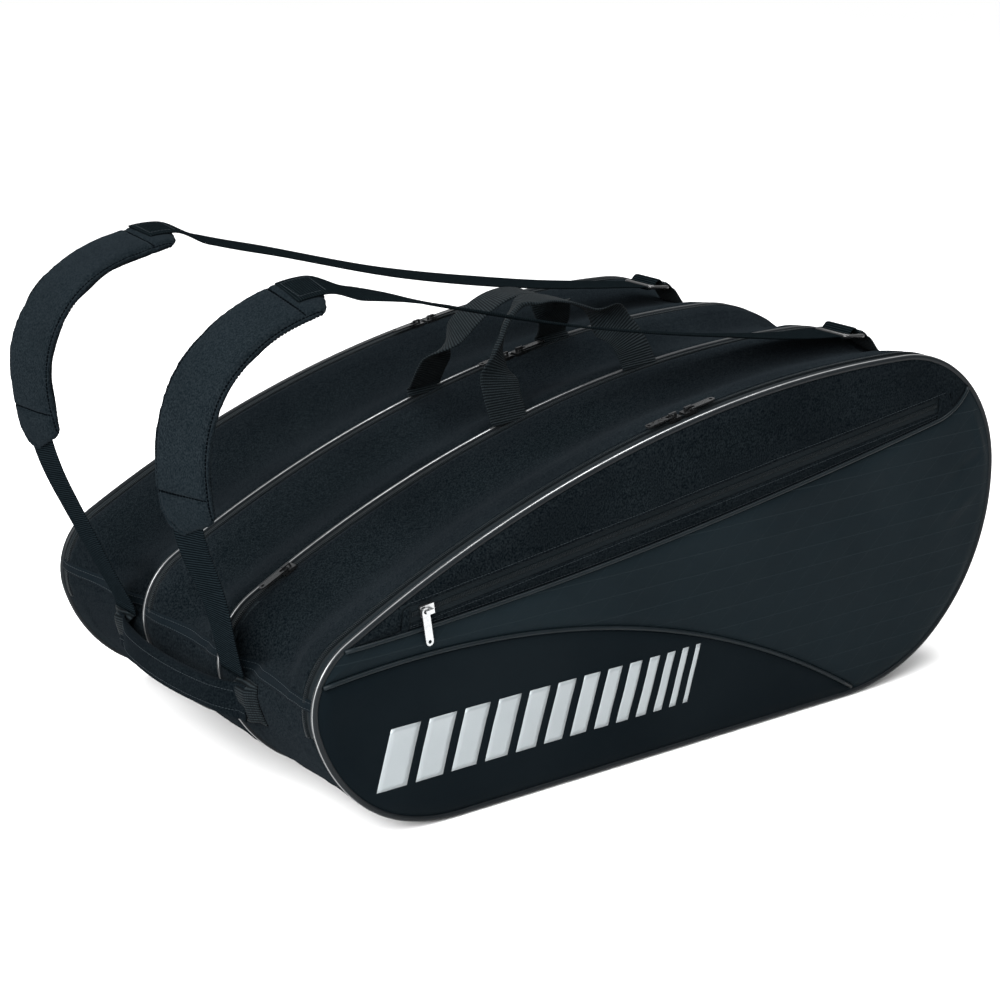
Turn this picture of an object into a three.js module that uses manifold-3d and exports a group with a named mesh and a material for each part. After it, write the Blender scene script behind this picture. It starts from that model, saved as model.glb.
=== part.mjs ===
// Racket tournament bag with three compartments, in millimetres.
// +X runs along the bag to its tall rounded end, -Y faces the pocket side, +Z is up.
// The origin is on the flat base, in the middle of the bag's length and width.
import * as THREE from 'three';
import { mergeVertices } from 'three/addons/utils/BufferGeometryUtils.js';
import Module from 'manifold-3d';

const wasm = await Module();
wasm.setup();

// ---------- driving dimensions ----------

// Side outline shared by every panel and seam: a flat base, then tangent arcs that run
// anticlockwise from the right end of the base. The slope's radius closes the outline.
const BASE_RIGHT = 198;
const ARCS = [
  { radius: 187, turn: 61.5, steps: 7 }, // lower right corner
  { radius: 190, turn: 32.5, steps: 4 }, // tall right end
  { radius: 128, turn: 84, steps: 10 }, // upper right corner
  { radius: null, turn: 31, steps: 12 }, // long top slope
  { radius: 61, turn: 75.5, steps: 8 }, // left nose
  { radius: 141, turn: 75.5, steps: 8 }, // lower left corner
];
const SLOPE = 3; // index of the slope in ARCS

// Seam planes across the bag, from the pocket side to the back.
const FRONT = -225;
const FRONT_SEAM = -74;
const REAR_SEAM = 60;
const BACK = 225;

const GAP = 0.35; // clearance between separate pieces
const PIPING_RADIUS = 3;
const WALL = 4; // padded side wall
const PANEL = 3; // padded front and back panels
const SKIN = 1.2; // outer cloth on the front panel
const DIVIDER = 2;
const VALLEY_TOP = 8; // how far the wall sags between seams on top
const VALLEY_NOSE = 20; // and just above the left end

const FOLD_Z = 100; // height of the line about which both lids fold
const NOSE_SEAM = 262; // outline angle of the seam that ends the inner zips

const TAPE_WIDTH = 15;
const TAPE = 1.2; // zip tape thickness
const COIL_WIDTH = 4.4;
const COIL_HEIGHT = 1.4; // above the tape

const WEBBING_WIDTH = 38;
const WEBBING = 2.2;

// ---------- colours ----------

const finish = (color, roughness, metalness = 0) =>
  new THREE.MeshStandardMaterial({ color, roughness, metalness });
const BODY_CLOTH = finish(0x15191d, 0.9);
const COATED_CLOTH = finish(0x23292d, 0.45);
const LINING = finish(0x1b1d20, 0.9);
const SILVER_PIPING = finish(0xaab0b4, 0.35, 0.3);
const FACE_PIPING = finish(0x3a4346, 0.4);
const WEBBING_CLOTH = finish(0x1a1e20, 0.85);
const PAD_CLOTH = finish(0x14171a, 0.9);
const ZIP = finish(0x24282c, 0.6);
const DARK_METAL = finish(0x17181a, 0.35, 0.8);
const BRIGHT_METAL = finish(0xb9bcbf, 0.3, 0.9);
const PLASTIC = finish(0x0c0d0f, 0.3);

const bag = new THREE.Group();

function add(name, geometry, material, parent = bag) {
  const mesh = new THREE.Mesh(geometry, material);
  mesh.name = name;
  parent.add(mesh);
  return mesh;
}

// ---------- the outline ----------

const { degToRad, smoothstep } = THREE.MathUtils;
const BASE_START = 360; // the outline parameter is its heading in degrees up to here,
const OUTLINE_END = 400; // and the flat base takes the rest

function closingRadius() {
  let heading = 0;
  let rise = 0;
  let slopeShare = 0;
  for (const arc of ARCS) {
    const share = Math.cos(degToRad(heading)) - Math.cos(degToRad(heading + arc.turn));
    if (arc.radius) rise += arc.radius * share;
    else slopeShare = share;
    heading += arc.turn;
  }
  return -rise / slopeShare;
}

function placeArcs() {
  let start = 0;
  let x = BASE_RIGHT;
  let z = 0;
  return ARCS.map((arc) => {
    const radius = arc.radius ?? closingRadius();
    const end = start + arc.turn;
    const cx = x - radius * Math.sin(degToRad(start));
    const cz = z + radius * Math.cos(degToRad(start));
    x = cx + radius * Math.sin(degToRad(end));
    z = cz - radius * Math.cos(degToRad(end));
    const placed = { radius, start, end, cx, cz, steps: arc.steps };
    start = end;
    return placed;
  });
}

const CHAIN = placeArcs();
const LAST_ARC = CHAIN[CHAIN.length - 1];
const BASE_LEFT = LAST_ARC.cx;

const wrap = (t) => ((t % OUTLINE_END) + OUTLINE_END) % OUTLINE_END;

// The outline's point and outward normal at parameter t.
function rim(t) {
  const at = wrap(t);
  if (at >= BASE_START) {
    const share = (at - BASE_START) / (OUTLINE_END - BASE_START);
    return { x: BASE_LEFT + share * (BASE_RIGHT - BASE_LEFT), z: 0, nx: 0, nz: -1 };
  }
  const arc = CHAIN.find((a) => at <= a.end);
  const nx = Math.sin(degToRad(at));
  const nz = -Math.cos(degToRad(at));
  return { x: arc.cx + arc.radius * nx, z: arc.cz + arc.radius * nz, nx, nz };
}

// A point at distance n outside the outline, in the plane y.
function onRim(t, y, n) {
  const r = rim(t);
  return new THREE.Vector3(r.x + n * r.nx, y, r.z + n * r.nz);
}

const BASE_STEPS = 4;
const GRID = [];
for (const arc of CHAIN) {
  const step = (arc.end - arc.start) / arc.steps;
  for (let i = 0; i < arc.steps; i++) GRID.push(arc.start + i * step);
}
for (let i = 0; i < BASE_STEPS; i++) {
  GRID.push(BASE_START + (i * (OUTLINE_END - BASE_START)) / BASE_STEPS);
}

// Stations from t0 to t1, over the top of the bag.
function span(t0, t1) {
  return [t0, ...GRID.filter((t) => t > t0 + 0.5 && t < t1 - 0.5), t1];
}

// 1 along the flat base, fading to 0 a little way up both lower corners.
function flatness(t) {
  const at = wrap(t);
  if (at >= BASE_START) return 1;
  return 1 - smoothstep(Math.min(at, BASE_START - at), 0, 40);
}

// The seams dip by the piping's radius along the base, so that the bag stands on its base.
const seamLine = (t) => -(PIPING_RADIUS + GAP) * flatness(t);

// Depth of the valley between two seams.
function valleyDepth(t) {
  const at = wrap(t);
  if (at >= BASE_START) return 0;
  const onTop = VALLEY_TOP * smoothstep(at, 20, 90);
  const towardsNose = (VALLEY_NOSE - VALLEY_TOP) * smoothstep(at, 180, 235);
  return (onTop + towardsNose) * (1 - smoothstep(at, 240, 275));
}

// ---------- building closed meshes ----------

function signedVolume(position, index) {
  const a = new THREE.Vector3();
  const b = new THREE.Vector3();
  const c = new THREE.Vector3();
  let volume = 0;
  for (let i = 0; i < index.length; i += 3) {
    a.fromBufferAttribute(position, index[i]);
    b.fromBufferAttribute(position, index[i + 1]);
    c.fromBufferAttribute(position, index[i + 2]);
    volume += a.dot(b.cross(c));
  }
  return volume;
}

function closedMesh(points, index) {
  const geometry = new THREE.BufferGeometry().setFromPoints(points);
  if (signedVolume(geometry.attributes.position, index) < 0) index.reverse();
  geometry.setIndex(index);
  return geometry;
}

const area = (a, b, c) => (b.x - a.x) * (c.y - a.y) - (b.y - a.y) * (c.x - a.x);

// Triangles across a section, turned the same way as the section's outline.
function capTriangles(section) {
  const outlineTurn = Math.sign(THREE.ShapeUtils.area(section));
  return THREE.ShapeUtils.triangulateShape(section, []).map(([a, b, c]) => {
    const turn = Math.sign(area(section[a], section[b], section[c]));
    return turn === outlineTurn ? [a, b, c] : [a, c, b];
  });
}

// Joins equal rings of points into a tube. flat is the section for the end caps; without
// it the tube closes on itself.
function loft(rings, flat = null) {
  const count = rings[0].length;
  const index = [];
  const spans = flat ? rings.length - 1 : rings.length;
  for (let i = 0; i < spans; i++) {
    const a = i * count;
    const b = ((i + 1) % rings.length) * count;
    for (let j = 0; j < count; j++) {
      const k = (j + 1) % count;
      index.push(a + j, a + k, b + k, a + j, b + k, b + j);
    }
  }
  if (flat) {
    const last = (rings.length - 1) * count;
    for (const [a, b, c] of capTriangles(flat)) {
      index.push(a, c, b, last + a, last + b, last + c);
    }
  }
  return closedMesh(rings.flat(), index);
}

const flatSection = (profile) => profile.map(([u, v]) => new THREE.Vector2(u, v));

// Sweeps a section of [y, n] points along the whole outline.
function ringSweep(profileAt) {
  return loft(GRID.map((t) => profileAt(t).map(([y, n]) => onRim(t, y, n))));
}

// Sweeps a section of [y, n] points over the top of the outline, from t0 to t1.
function topSweep(profile, t0, t1) {
  const rings = span(t0, t1).map((t) => profile.map(([y, n]) => onRim(t, y, n)));
  return loft(rings, flatSection(profile));
}

// Extrudes an outline of [x, z] points from y0 to y1.
function plate(outline, y0, y1) {
  const rings = [y0, y1].map((y) => outline.map(([x, z]) => new THREE.Vector3(x, y, z)));
  return loft(rings, flatSection(outline));
}

function box(low, high) {
  const size = high.map((value, i) => value - low[i]);
  const geometry = new THREE.BoxGeometry(...size);
  geometry.translate(...low.map((value, i) => value + size[i] / 2));
  return geometry;
}

function cylinder(radius, length, sides, axis, centre) {
  const geometry = new THREE.CylinderGeometry(radius, radius, length, sides);
  if (axis === 'z') geometry.rotateX(Math.PI / 2);
  return geometry.translate(...centre);
}

// ---------- joining and cutting ----------

function solid(geometry) {
  const bare = geometry.clone();
  bare.deleteAttribute('normal');
  bare.deleteAttribute('uv');
  const merged = mergeVertices(bare);
  return new wasm.Manifold(
    new wasm.Mesh({
      numProp: 3,
      vertProperties: merged.attributes.position.array,
      triVerts: new Uint32Array(merged.index.array),
    }),
  );
}

function shape(manifold) {
  const mesh = manifold.getMesh();
  const geometry = new THREE.BufferGeometry();
  geometry.setAttribute('position', new THREE.BufferAttribute(mesh.vertProperties, 3));
  geometry.setIndex(new THREE.BufferAttribute(mesh.triVerts, 1));
  return geometry;
}

const FAR = 600; // beyond every piece
const below = (z) => solid(box([-FAR, -FAR, -FAR], [FAR, FAR, z]));
const above = (z) => solid(box([-FAR, -FAR, z], [FAR, FAR, FAR]));

// The two parts of a piece that folds with a lid.
function splitAtFold(piece) {
  return {
    upper: piece.subtract(below(FOLD_Z + GAP)),
    lower: piece.subtract(above(FOLD_Z - GAP)),
  };
}

// ---------- side walls ----------

const VALLEY_STEPS = [0, 0.2, 0.42, 0.62, 0.82, 1];
const VALLEY_FLOOR = 0.55; // where across the wall the valley is deepest
const valleyPower = Math.log(0.5) / Math.log(VALLEY_FLOOR);
const SHELF = TAPE_WIDTH + 4; // level strip beside each seam that has a zip

function wallProfile(y0, y1, shelves) {
  const inner0 = y0 + (shelves[0] ? SHELF : 0);
  const inner1 = y1 - (shelves[1] ? SHELF : 0);
  return (t) => {
    const depth = valleyDepth(t);
    const crossing = VALLEY_STEPS.map((v) => {
      const dip = Math.sin(Math.PI * v ** valleyPower) ** 2;
      return [inner0 + v * (inner1 - inner0), -depth * dip];
    });
    const outer = [...crossing];
    if (shelves[0]) outer.unshift([y0, 0]);
    if (shelves[1]) outer.push([y1, 0]);
    const inner = outer.map(([y, n]) => [y, n - WALL]).reverse();
    return [...outer, ...inner];
  };
}

const SEAM_CLEAR = PIPING_RADIUS + GAP;
const LID_TAPE = 7; // width of the zip tape on the lid's side of the teeth
const RIGHT_FOLD = 55; // outline angles a little below both ends of the lids' zips
const LEFT_FOLD = 292;
const TRENCH_FLOOR = -WALL - 3;

// The slot in the wall beside a lid's seam, which the lid's zip closes. side is +1 on the
// pocket side, where the wall lies towards +Y of the seam, and -1 at the back.
function trench(seam, side) {
  const near = seam + side * (SEAM_CLEAR - 1);
  const far = seam + side * (SEAM_CLEAR + LID_TAPE + 8);
  const section = [[near, TRENCH_FLOOR], [far, TRENCH_FLOOR], [far, 2], [near, 2]];
  return solid(topSweep(section, RIGHT_FOLD, LEFT_FOLD)).subtract(below(FOLD_Z - GAP));
}

function sideWalls() {
  const front = wallProfile(FRONT + SEAM_CLEAR, FRONT_SEAM - SEAM_CLEAR, [true, true]);
  const middle = wallProfile(FRONT_SEAM + SEAM_CLEAR, REAR_SEAM - SEAM_CLEAR, [false, true]);
  const rear = wallProfile(REAR_SEAM + SEAM_CLEAR, BACK - SEAM_CLEAR, [false, true]);
  const frontWall = solid(ringSweep(front)).subtract(trench(FRONT, 1));
  const rearWall = solid(ringSweep(rear)).subtract(trench(BACK, -1));
  add('front_side_wall', shape(frontWall), BODY_CLOTH);
  add('middle_side_wall', ringSweep(middle), BODY_CLOTH);
  add('rear_side_wall', shape(rearWall), BODY_CLOTH);
}

// ---------- panels, dividers and piping ----------

const rimOutline = (inset) =>
  GRID.map((t) => {
    const p = onRim(t, 0, seamLine(t) - inset);
    return [p.x, p.z];
  });

function panelsAndDividers() {
  const half = PANEL / 2;
  for (const [name, seam] of [['front', FRONT], ['back', BACK]]) {
    const parts = splitAtFold(solid(plate(rimOutline(SEAM_CLEAR), seam - half, seam + half)));
    add(`${name}_lid_panel`, shape(parts.upper), LINING);
    add(`${name}_base_panel`, shape(parts.lower), LINING);
  }
  for (const [name, seam] of [['front', FRONT_SEAM], ['rear', REAR_SEAM]]) {
    const low = seam - DIVIDER / 2;
    add(`${name}_divider`, plate(rimOutline(SEAM_CLEAR), low, low + DIVIDER), LINING);
  }
}

function pipingProfile(seam) {
  const sides = 6;
  return (t) => {
    const points = [];
    for (let i = 0; i < sides; i++) {
      const angle = (i / sides) * 2 * Math.PI;
      const n = seamLine(t) + PIPING_RADIUS * Math.sin(angle);
      points.push([seam + PIPING_RADIUS * Math.cos(angle), n]);
    }
    return points;
  };
}

function seamPiping() {
  for (const [name, seam] of [['front', FRONT], ['back', BACK]]) {
    const parts = splitAtFold(solid(ringSweep(pipingProfile(seam))));
    add(`${name}_lid_piping`, shape(parts.upper), SILVER_PIPING);
    add(`${name}_base_piping`, shape(parts.lower), SILVER_PIPING);
  }
  add('front_divider_piping', ringSweep(pipingProfile(FRONT_SEAM)), SILVER_PIPING);
  add('rear_divider_piping', ringSweep(pipingProfile(REAR_SEAM)), SILVER_PIPING);
}

// ---------- front face ----------

const v2 = (x, z) => new THREE.Vector2(x, z);
const POCKET_SEAM = new THREE.QuadraticBezierCurve(v2(-364, 171), v2(-60, 180.5), v2(380, 268));
const ARC_SEAM = new THREE.QuadraticBezierCurve(v2(-386, 144), v2(-50, 188), v2(231, -6));
const CORD_RADIUS = 1.6; // piping on the face
const CHANNEL = CORD_RADIUS + 0.5;
const SKIN_FRONT = FRONT - PANEL / 2 - GAP - SKIN;
const SKIN_BACK = SKIN_FRONT + SKIN;
const CORD_Y = FRONT - PANEL / 2 - GAP - CORD_RADIUS;

const POCKET_LEFT = new THREE.Vector3(-290, SKIN_BACK, 189);
const POCKET_RIGHT = new THREE.Vector3(318, SKIN_BACK, 271);
const POCKET_SLIDER_AT = 16; // from the zip's left end

// A strip of constant width along a curve on the face, through the whole skin.
function strip(curve, halfWidth, y0, y1, steps = 24) {
  const edge = (side) =>
    curve.getPoints(steps).map((p, i) => {
      const tangent = curve.getTangent(i / steps);
      return [p.x - side * halfWidth * tangent.y, p.y + side * halfWidth * tangent.x];
    });
  return solid(plate([...edge(-1), ...edge(1).reverse()], y0, y1));
}

function faceCord(curve, steps = 24) {
  const sides = 6;
  const rings = curve.getPoints(steps).map((p, i) => {
    const tangent = curve.getTangent(i / steps);
    return Array.from({ length: sides }, (_, j) => {
      const angle = (j / sides) * 2 * Math.PI;
      const out = CORD_RADIUS * Math.cos(angle);
      const up = CORD_RADIUS * Math.sin(angle);
      return new THREE.Vector3(p.x - up * tangent.y, CORD_Y - out, p.y + up * tangent.x);
    });
  });
  const flat = Array.from({ length: sides }, (_, j) => {
    const angle = (j / sides) * 2 * Math.PI;
    return v2(Math.cos(angle), Math.sin(angle));
  });
  return solid(loft(rings, flat));
}

// The pocket zip's own axes: x along the teeth, y out of the face, z towards the slope's foot.
function pocketFrame(distance) {
  const along = POCKET_RIGHT.clone().sub(POCKET_LEFT).normalize();
  const out = new THREE.Vector3(0, -1, 0);
  const across = new THREE.Vector3().crossVectors(along, out);
  const origin = POCKET_LEFT.clone().addScaledVector(along, distance);
  return new THREE.Matrix4().makeBasis(along, out, across).setPosition(origin);
}

const POCKET_LENGTH = POCKET_LEFT.distanceTo(POCKET_RIGHT);

function frontFace() {
  const skin = solid(plate(rimOutline(SEAM_CLEAR + 1), SKIN_FRONT, SKIN_BACK));
  const cuts = [POCKET_SEAM, ARC_SEAM].map((c) => strip(c, CHANNEL, SKIN_FRONT - 1, SKIN_BACK + 1));
  const halfSlot = TAPE_WIDTH / 2 + GAP;
  const slot = box([-GAP, -1, -halfSlot], [POCKET_LENGTH + GAP, SKIN + 1, halfSlot]);
  const pieces = skin
    .subtract(cuts[0])
    .subtract(cuts[1])
    .subtract(solid(slot.applyMatrix4(pocketFrame(0))))
    .decompose()
    .sort((a, b) => b.boundingBox().max[2] - a.boundingBox().max[2]);
  const [top, coated, arc] = pieces;
  const coatedParts = splitAtFold(coated);
  const arcParts = splitAtFold(arc);
  add('front_top_cloth', shape(top), BODY_CLOTH);
  add('front_coated_panel', shape(coatedParts.upper), COATED_CLOTH);
  add('front_coated_panel_foot', shape(coatedParts.lower), COATED_CLOTH);
  add('front_arc_panel', shape(arcParts.upper), COATED_CLOTH);
  add('front_arc_panel_foot', shape(arcParts.lower), COATED_CLOTH);

  const inside = solid(plate(rimOutline(SEAM_CLEAR + 1), CORD_Y - 9, CORD_Y + 9));
  add('pocket_piping', shape(faceCord(POCKET_SEAM).intersect(inside)), FACE_PIPING);
  const arcCord = splitAtFold(faceCord(ARC_SEAM).intersect(inside));
  add('arc_piping', shape(arcCord.upper), FACE_PIPING);
  add('arc_piping_foot', shape(arcCord.lower), FACE_PIPING);

  const half = TAPE_WIDTH / 2;
  const tooth = COIL_WIDTH / 2;
  const top1 = SKIN_BACK - SKIN_FRONT;
  const section = [
    [-half, 0], [half, 0], [half, top1], [tooth, top1],
    [tooth, top1 + COIL_HEIGHT], [-tooth, top1 + COIL_HEIGHT], [-tooth, top1], [-half, top1],
  ];
  const rings = [0, POCKET_LENGTH].map((x) => section.map(([z, y]) => new THREE.Vector3(x, y, z)));
  const zip = loft(rings, flatSection(section)).applyMatrix4(pocketFrame(0));
  add('pocket_zip', zip, ZIP);
}

// ---------- zips ----------

const TAPE_LOW = GAP;
const TAPE_TOP = GAP + TAPE;
const COIL_TOP = TAPE_TOP + COIL_HEIGHT;

// Tape with its teeth in the middle, lying on the wall between y0 and y0 + TAPE_WIDTH.
function fullZipSection(y0) {
  const mid = y0 + TAPE_WIDTH / 2;
  const tooth = COIL_WIDTH / 2;
  return [
    [y0, TAPE_LOW], [y0 + TAPE_WIDTH, TAPE_LOW], [y0 + TAPE_WIDTH, TAPE_TOP],
    [mid + tooth, TAPE_TOP], [mid + tooth, COIL_TOP], [mid - tooth, COIL_TOP],
    [mid - tooth, TAPE_TOP], [y0, TAPE_TOP],
  ];
}

const ZIP_RIGHT = 40; // outline angle where the inner zips end, low on the right end
const ZIP_LEFT = NOSE_SEAM - 2;

function lidZip(name, seam, side) {
  const at = (d) => seam + side * d;
  const lidNear = SEAM_CLEAR;
  const lidFar = SEAM_CLEAR + LID_TAPE;
  const coilNear = lidFar + GAP;
  const coilFar = coilNear + COIL_WIDTH;
  const bodyFar = coilFar + 7;
  const lidSection = [
    [at(lidNear), TAPE_LOW], [at(lidFar), TAPE_LOW],
    [at(lidFar), TAPE_TOP], [at(lidNear), TAPE_TOP],
  ];
  const bodySection = [
    [at(coilNear), TAPE_LOW], [at(bodyFar), TAPE_LOW], [at(bodyFar), TAPE_TOP],
    [at(coilFar), TAPE_TOP], [at(coilFar), COIL_TOP], [at(coilNear), COIL_TOP],
  ];
  for (const [part, section] of [['lid_zip_tape', lidSection], ['wall_zip_tape', bodySection]]) {
    const whole = solid(topSweep(section, RIGHT_FOLD, LEFT_FOLD));
    add(`${name}_${part}`, shape(whole.subtract(below(FOLD_Z + GAP))), ZIP);
  }
  return at((coilNear + coilFar) / 2);
}

function zips() {
  const frontTeeth = lidZip('front', FRONT, 1);
  const backTeeth = lidZip('back', BACK, -1);
  const innerTeeth = {};
  for (const [name, seam] of [['front_divider', FRONT_SEAM], ['rear_divider', REAR_SEAM]]) {
    const y0 = seam - SEAM_CLEAR - TAPE_WIDTH;
    add(`${name}_zip`, topSweep(fullZipSection(y0), ZIP_RIGHT, ZIP_LEFT), ZIP);
    innerTeeth[name] = y0 + TAPE_WIDTH / 2;
  }
  return { frontTeeth, backTeeth, innerTeeth };
}

// ---------- zip sliders and pullers ----------

// Local axes of a slider: x along the teeth towards the puller, y out of the bag, z across.
const SLIDER_LENGTH = 13;
const SLIDER_HALF = 4.6;
const RAIL_LOW = GAP; // above the tape
const ROOF_LOW = COIL_HEIGHT + GAP;
const ROOF_TOP = ROOF_LOW + 1.4;
const BRIDGE_TOP = ROOF_TOP + 4;
const BAR_RADIUS = 0.7;
const BAR_HEIGHT = ROOF_TOP + 1.25;
const PULLER_LENGTH = 30;
const PULLER_HALF = 3.6;
const PULLER = 1.3; // thickness
const HOLE_RADIUS = 1.7;
const EYE_RADIUS = 2;
const LEG_X = 3.2; // the bridge's legs, along the slider
const LEG = 1.2;

function sliderGeometry() {
  const half = SLIDER_LENGTH / 2;
  const body = solid(box([-half, RAIL_LOW, -SLIDER_HALF], [half, ROOF_TOP, SLIDER_HALF]));
  const groove = COIL_WIDTH / 2 + GAP;
  const coil = solid(box([-half - 1, -1, -groove], [half + 1, ROOF_LOW, groove]));
  const legOut = LEG_X + LEG / 2;
  const legIn = LEG_X - LEG / 2;
  const arch = solid(box([-legOut, ROOF_TOP - 0.5, -1.2], [legOut, BRIDGE_TOP, 1.2]));
  const eye = solid(box([-legIn, ROOF_TOP, -2], [legIn, BRIDGE_TOP - 1.1, 2]));
  return shape(body.subtract(coil).add(arch.subtract(eye)));
}

// The puller hangs from a bar through the slider's bridge; its origin is the bar's axis.
function pullerGeometry() {
  const low = -PULLER / 2;
  const high = PULLER / 2;
  const straight = PULLER_LENGTH - PULLER_HALF;
  const blade = solid(box([0, low, -PULLER_HALF], [straight, high, PULLER_HALF]));
  const round = solid(cylinder(PULLER_HALF, PULLER, 12, 'y', [straight, 0, 0]));
  const bar = solid(cylinder(BAR_RADIUS, 2 * PULLER_HALF, 6, 'z', [0, 0, 0]));
  const window = solid(box([BAR_RADIUS, -2, -1.7], [7.4, 2, 1.7]));
  const notch = solid(box([-1, -2, -1.7], [BAR_RADIUS, 2, 1.7]));
  const hole = solid(cylinder(HOLE_RADIUS, 4, 8, 'y', [straight, 0, 0]));
  return shape(blade.add(round).subtract(notch).add(bar).subtract(window).subtract(hole));
}

// A puller that hangs beside the teeth, from one leg of the bridge, which fills its eye.
function hangingPullerGeometry() {
  const straight = PULLER_LENGTH - PULLER_HALF;
  const blade = solid(box([-PULLER_HALF, -PULLER / 2, 0], [PULLER_HALF, PULLER / 2, straight]));
  const end = (z) => solid(cylinder(PULLER_HALF, PULLER, 12, 'y', [0, 0, z]));
  const hole = (z, radius) => solid(cylinder(radius, 4, 8, 'y', [0, 0, z]));
  const whole = blade.add(end(0)).add(end(straight));
  return shape(whole.subtract(hole(0, EYE_RADIUS)).subtract(hole(straight, HOLE_RADIUS)));
}

const SLIDER = sliderGeometry();
const PULLER_SHAPE = pullerGeometry();

// A frame on the outline's teeth: direction is +1 where the puller points towards the
// right end of the bag and -1 towards the nose.
function teethFrame(t, y, height, direction) {
  const r = rim(t);
  const out = new THREE.Vector3(r.nx, 0, r.nz);
  const towardsRight = new THREE.Vector3(-r.nz, 0, r.nx).multiplyScalar(-1);
  const along = towardsRight.multiplyScalar(direction);
  const across = new THREE.Vector3().crossVectors(along, out);
  return new THREE.Matrix4().makeBasis(along, out, across).setPosition(onRim(t, y, height));
}

function addSlider(name, frame, look) {
  const carriage = new THREE.Group();
  carriage.applyMatrix4(frame);
  bag.add(carriage);
  add(`${name}_slider`, SLIDER, look, carriage);
  const puller = add(`${name}_puller`, PULLER_SHAPE, look, carriage);
  puller.position.y = BAR_HEIGHT;
}

const PAIR_SPREAD = 0.42; // half the angle between two sliders that meet nose to nose

function sliders({ frontTeeth, backTeeth, innerTeeth }) {
  const pairs = [
    ['front_zip', frontTeeth, 190.6],
    ['rear_divider_zip', innerTeeth.rear_divider, 190.1],
    ['back_zip', backTeeth, 189.7],
  ];
  for (const [name, y, t] of pairs) {
    addSlider(`${name}_left`, teethFrame(t + PAIR_SPREAD, y, TAPE_TOP, -1), DARK_METAL);
    addSlider(`${name}_right`, teethFrame(t - PAIR_SPREAD, y, TAPE_TOP, 1), DARK_METAL);
  }
  const nose = teethFrame(207.2, innerTeeth.front_divider, TAPE_TOP, -1);
  addSlider('front_divider_zip', nose, DARK_METAL);
}

// The pocket's puller hangs straight down from its slider.
function pocketSlider() {
  const carriage = new THREE.Group();
  carriage.applyMatrix4(pocketFrame(POCKET_SLIDER_AT));
  bag.add(carriage);
  const slider = add('pocket_slider', SLIDER, BRIGHT_METAL, carriage);
  slider.position.y = SKIN;
  const puller = add('pocket_puller', hangingPullerGeometry(), BRIGHT_METAL, carriage);
  puller.position.set(-LEG_X, SKIN + BAR_HEIGHT + 0.2, 0);
}

// ---------- webbing ----------

// A flat band along points, each with a direction across the band.
function band(points, acrossAt, width, thickness) {
  const half = width / 2;
  const thin = thickness / 2;
  const rings = points.map((p, i) => {
    const before = points[Math.max(i - 1, 0)];
    const after = points[Math.min(i + 1, points.length - 1)];
    const tangent = after.clone().sub(before).normalize();
    const across = acrossAt(i / (points.length - 1)).clone();
    across.addScaledVector(tangent, -across.dot(tangent)).normalize();
    const normal = new THREE.Vector3().crossVectors(tangent, across);
    return [[-1, -1], [1, -1], [1, 1], [-1, 1]].map(([a, b]) =>
      p.clone().addScaledVector(across, a * half).addScaledVector(normal, b * thin),
    );
  });
  return loft(rings, flatSection([[-1, -1], [1, -1], [1, 1], [-1, 1]]));
}

// ---------- carrying handles ----------

const HANDLE_FEET_X = [-80, 68];
const HANDLE_LIFT = PIPING_RADIUS + 3.2; // the feet stand just clear of the piping
const HANDLE_HEIGHT = 90;
const HANDLE_LEAN = { front: 30, rear: -32 }; // degrees towards +Y
const HANDLE_OUTLINE = [
  [-1, 0], [-1.02, 0.22], [-1, 0.44], [-0.9, 0.66], [-0.68, 0.84], [-0.36, 0.96], [0, 1],
  [0.36, 0.96], [0.68, 0.84], [0.9, 0.66], [1, 0.44], [1.02, 0.22], [1, 0],
];

function topHeight(x) {
  let low = CHAIN[SLOPE].start;
  let high = CHAIN[SLOPE].end;
  while (high - low > 1e-6) {
    const mid = (low + high) / 2;
    if (rim(mid).x > x) low = mid;
    else high = mid;
  }
  return rim(low).z;
}

function grabHandle(name, seam, lean) {
  const [x0, x1] = HANDLE_FEET_X;
  const foot0 = new THREE.Vector3(x0, seam, topHeight(x0) + HANDLE_LIFT);
  const foot1 = new THREE.Vector3(x1, seam, topHeight(x1) + HANDLE_LIFT);
  const along = foot1.clone().sub(foot0).normalize();
  const middle = foot0.clone().add(foot1).multiplyScalar(0.5);
  const halfSpan = foot0.distanceTo(foot1) / 2;
  const up = new THREE.Vector3(0, 0, 1).applyAxisAngle(along, degToRad(-lean));
  const side = new THREE.Vector3().crossVectors(up, along);
  const points = HANDLE_OUTLINE.map(([u, v]) =>
    middle.clone().addScaledVector(along, u * halfSpan).addScaledVector(up, v * HANDLE_HEIGHT),
  );
  // The webbing lies along the seam at its feet and turns flat for the hand.
  const across = (share) => {
    const fromEnd = Math.min(share, 1 - share);
    const turn = smoothstep(fromEnd, 0.1, 0.3) * (Math.PI / 2);
    const direction = share < 0.5 ? 1 : -1;
    return along
      .clone()
      .multiplyScalar(direction * Math.cos(turn))
      .addScaledVector(side, Math.sin(turn));
  };
  add(`${name}_grab_handle`, band(points, across, WEBBING_WIDTH, WEBBING), WEBBING_CLOTH);
}

const END_HANDLE = { y0: -112, y1: 92, z: 101, height: 30, thickness: 6, bulge: 16 };

function endHandle() {
  const { y0, y1, z, height, thickness, bulge } = END_HANDLE;
  const steps = 14;
  const points = [];
  for (let i = 0; i <= steps; i++) {
    const share = i / steps;
    const out = bulge * Math.sin(Math.PI * share) ** 0.6;
    const x = rim(285).x - PIPING_RADIUS - GAP - thickness / 2 - out;
    points.push(new THREE.Vector3(x, y0 + share * (y1 - y0), z));
  }
  const upright = new THREE.Vector3(0, 0, 1);
  add('end_handle', band(points, () => upright, height, thickness), PAD_CLOTH);
}

// ---------- backpack straps ----------

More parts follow.
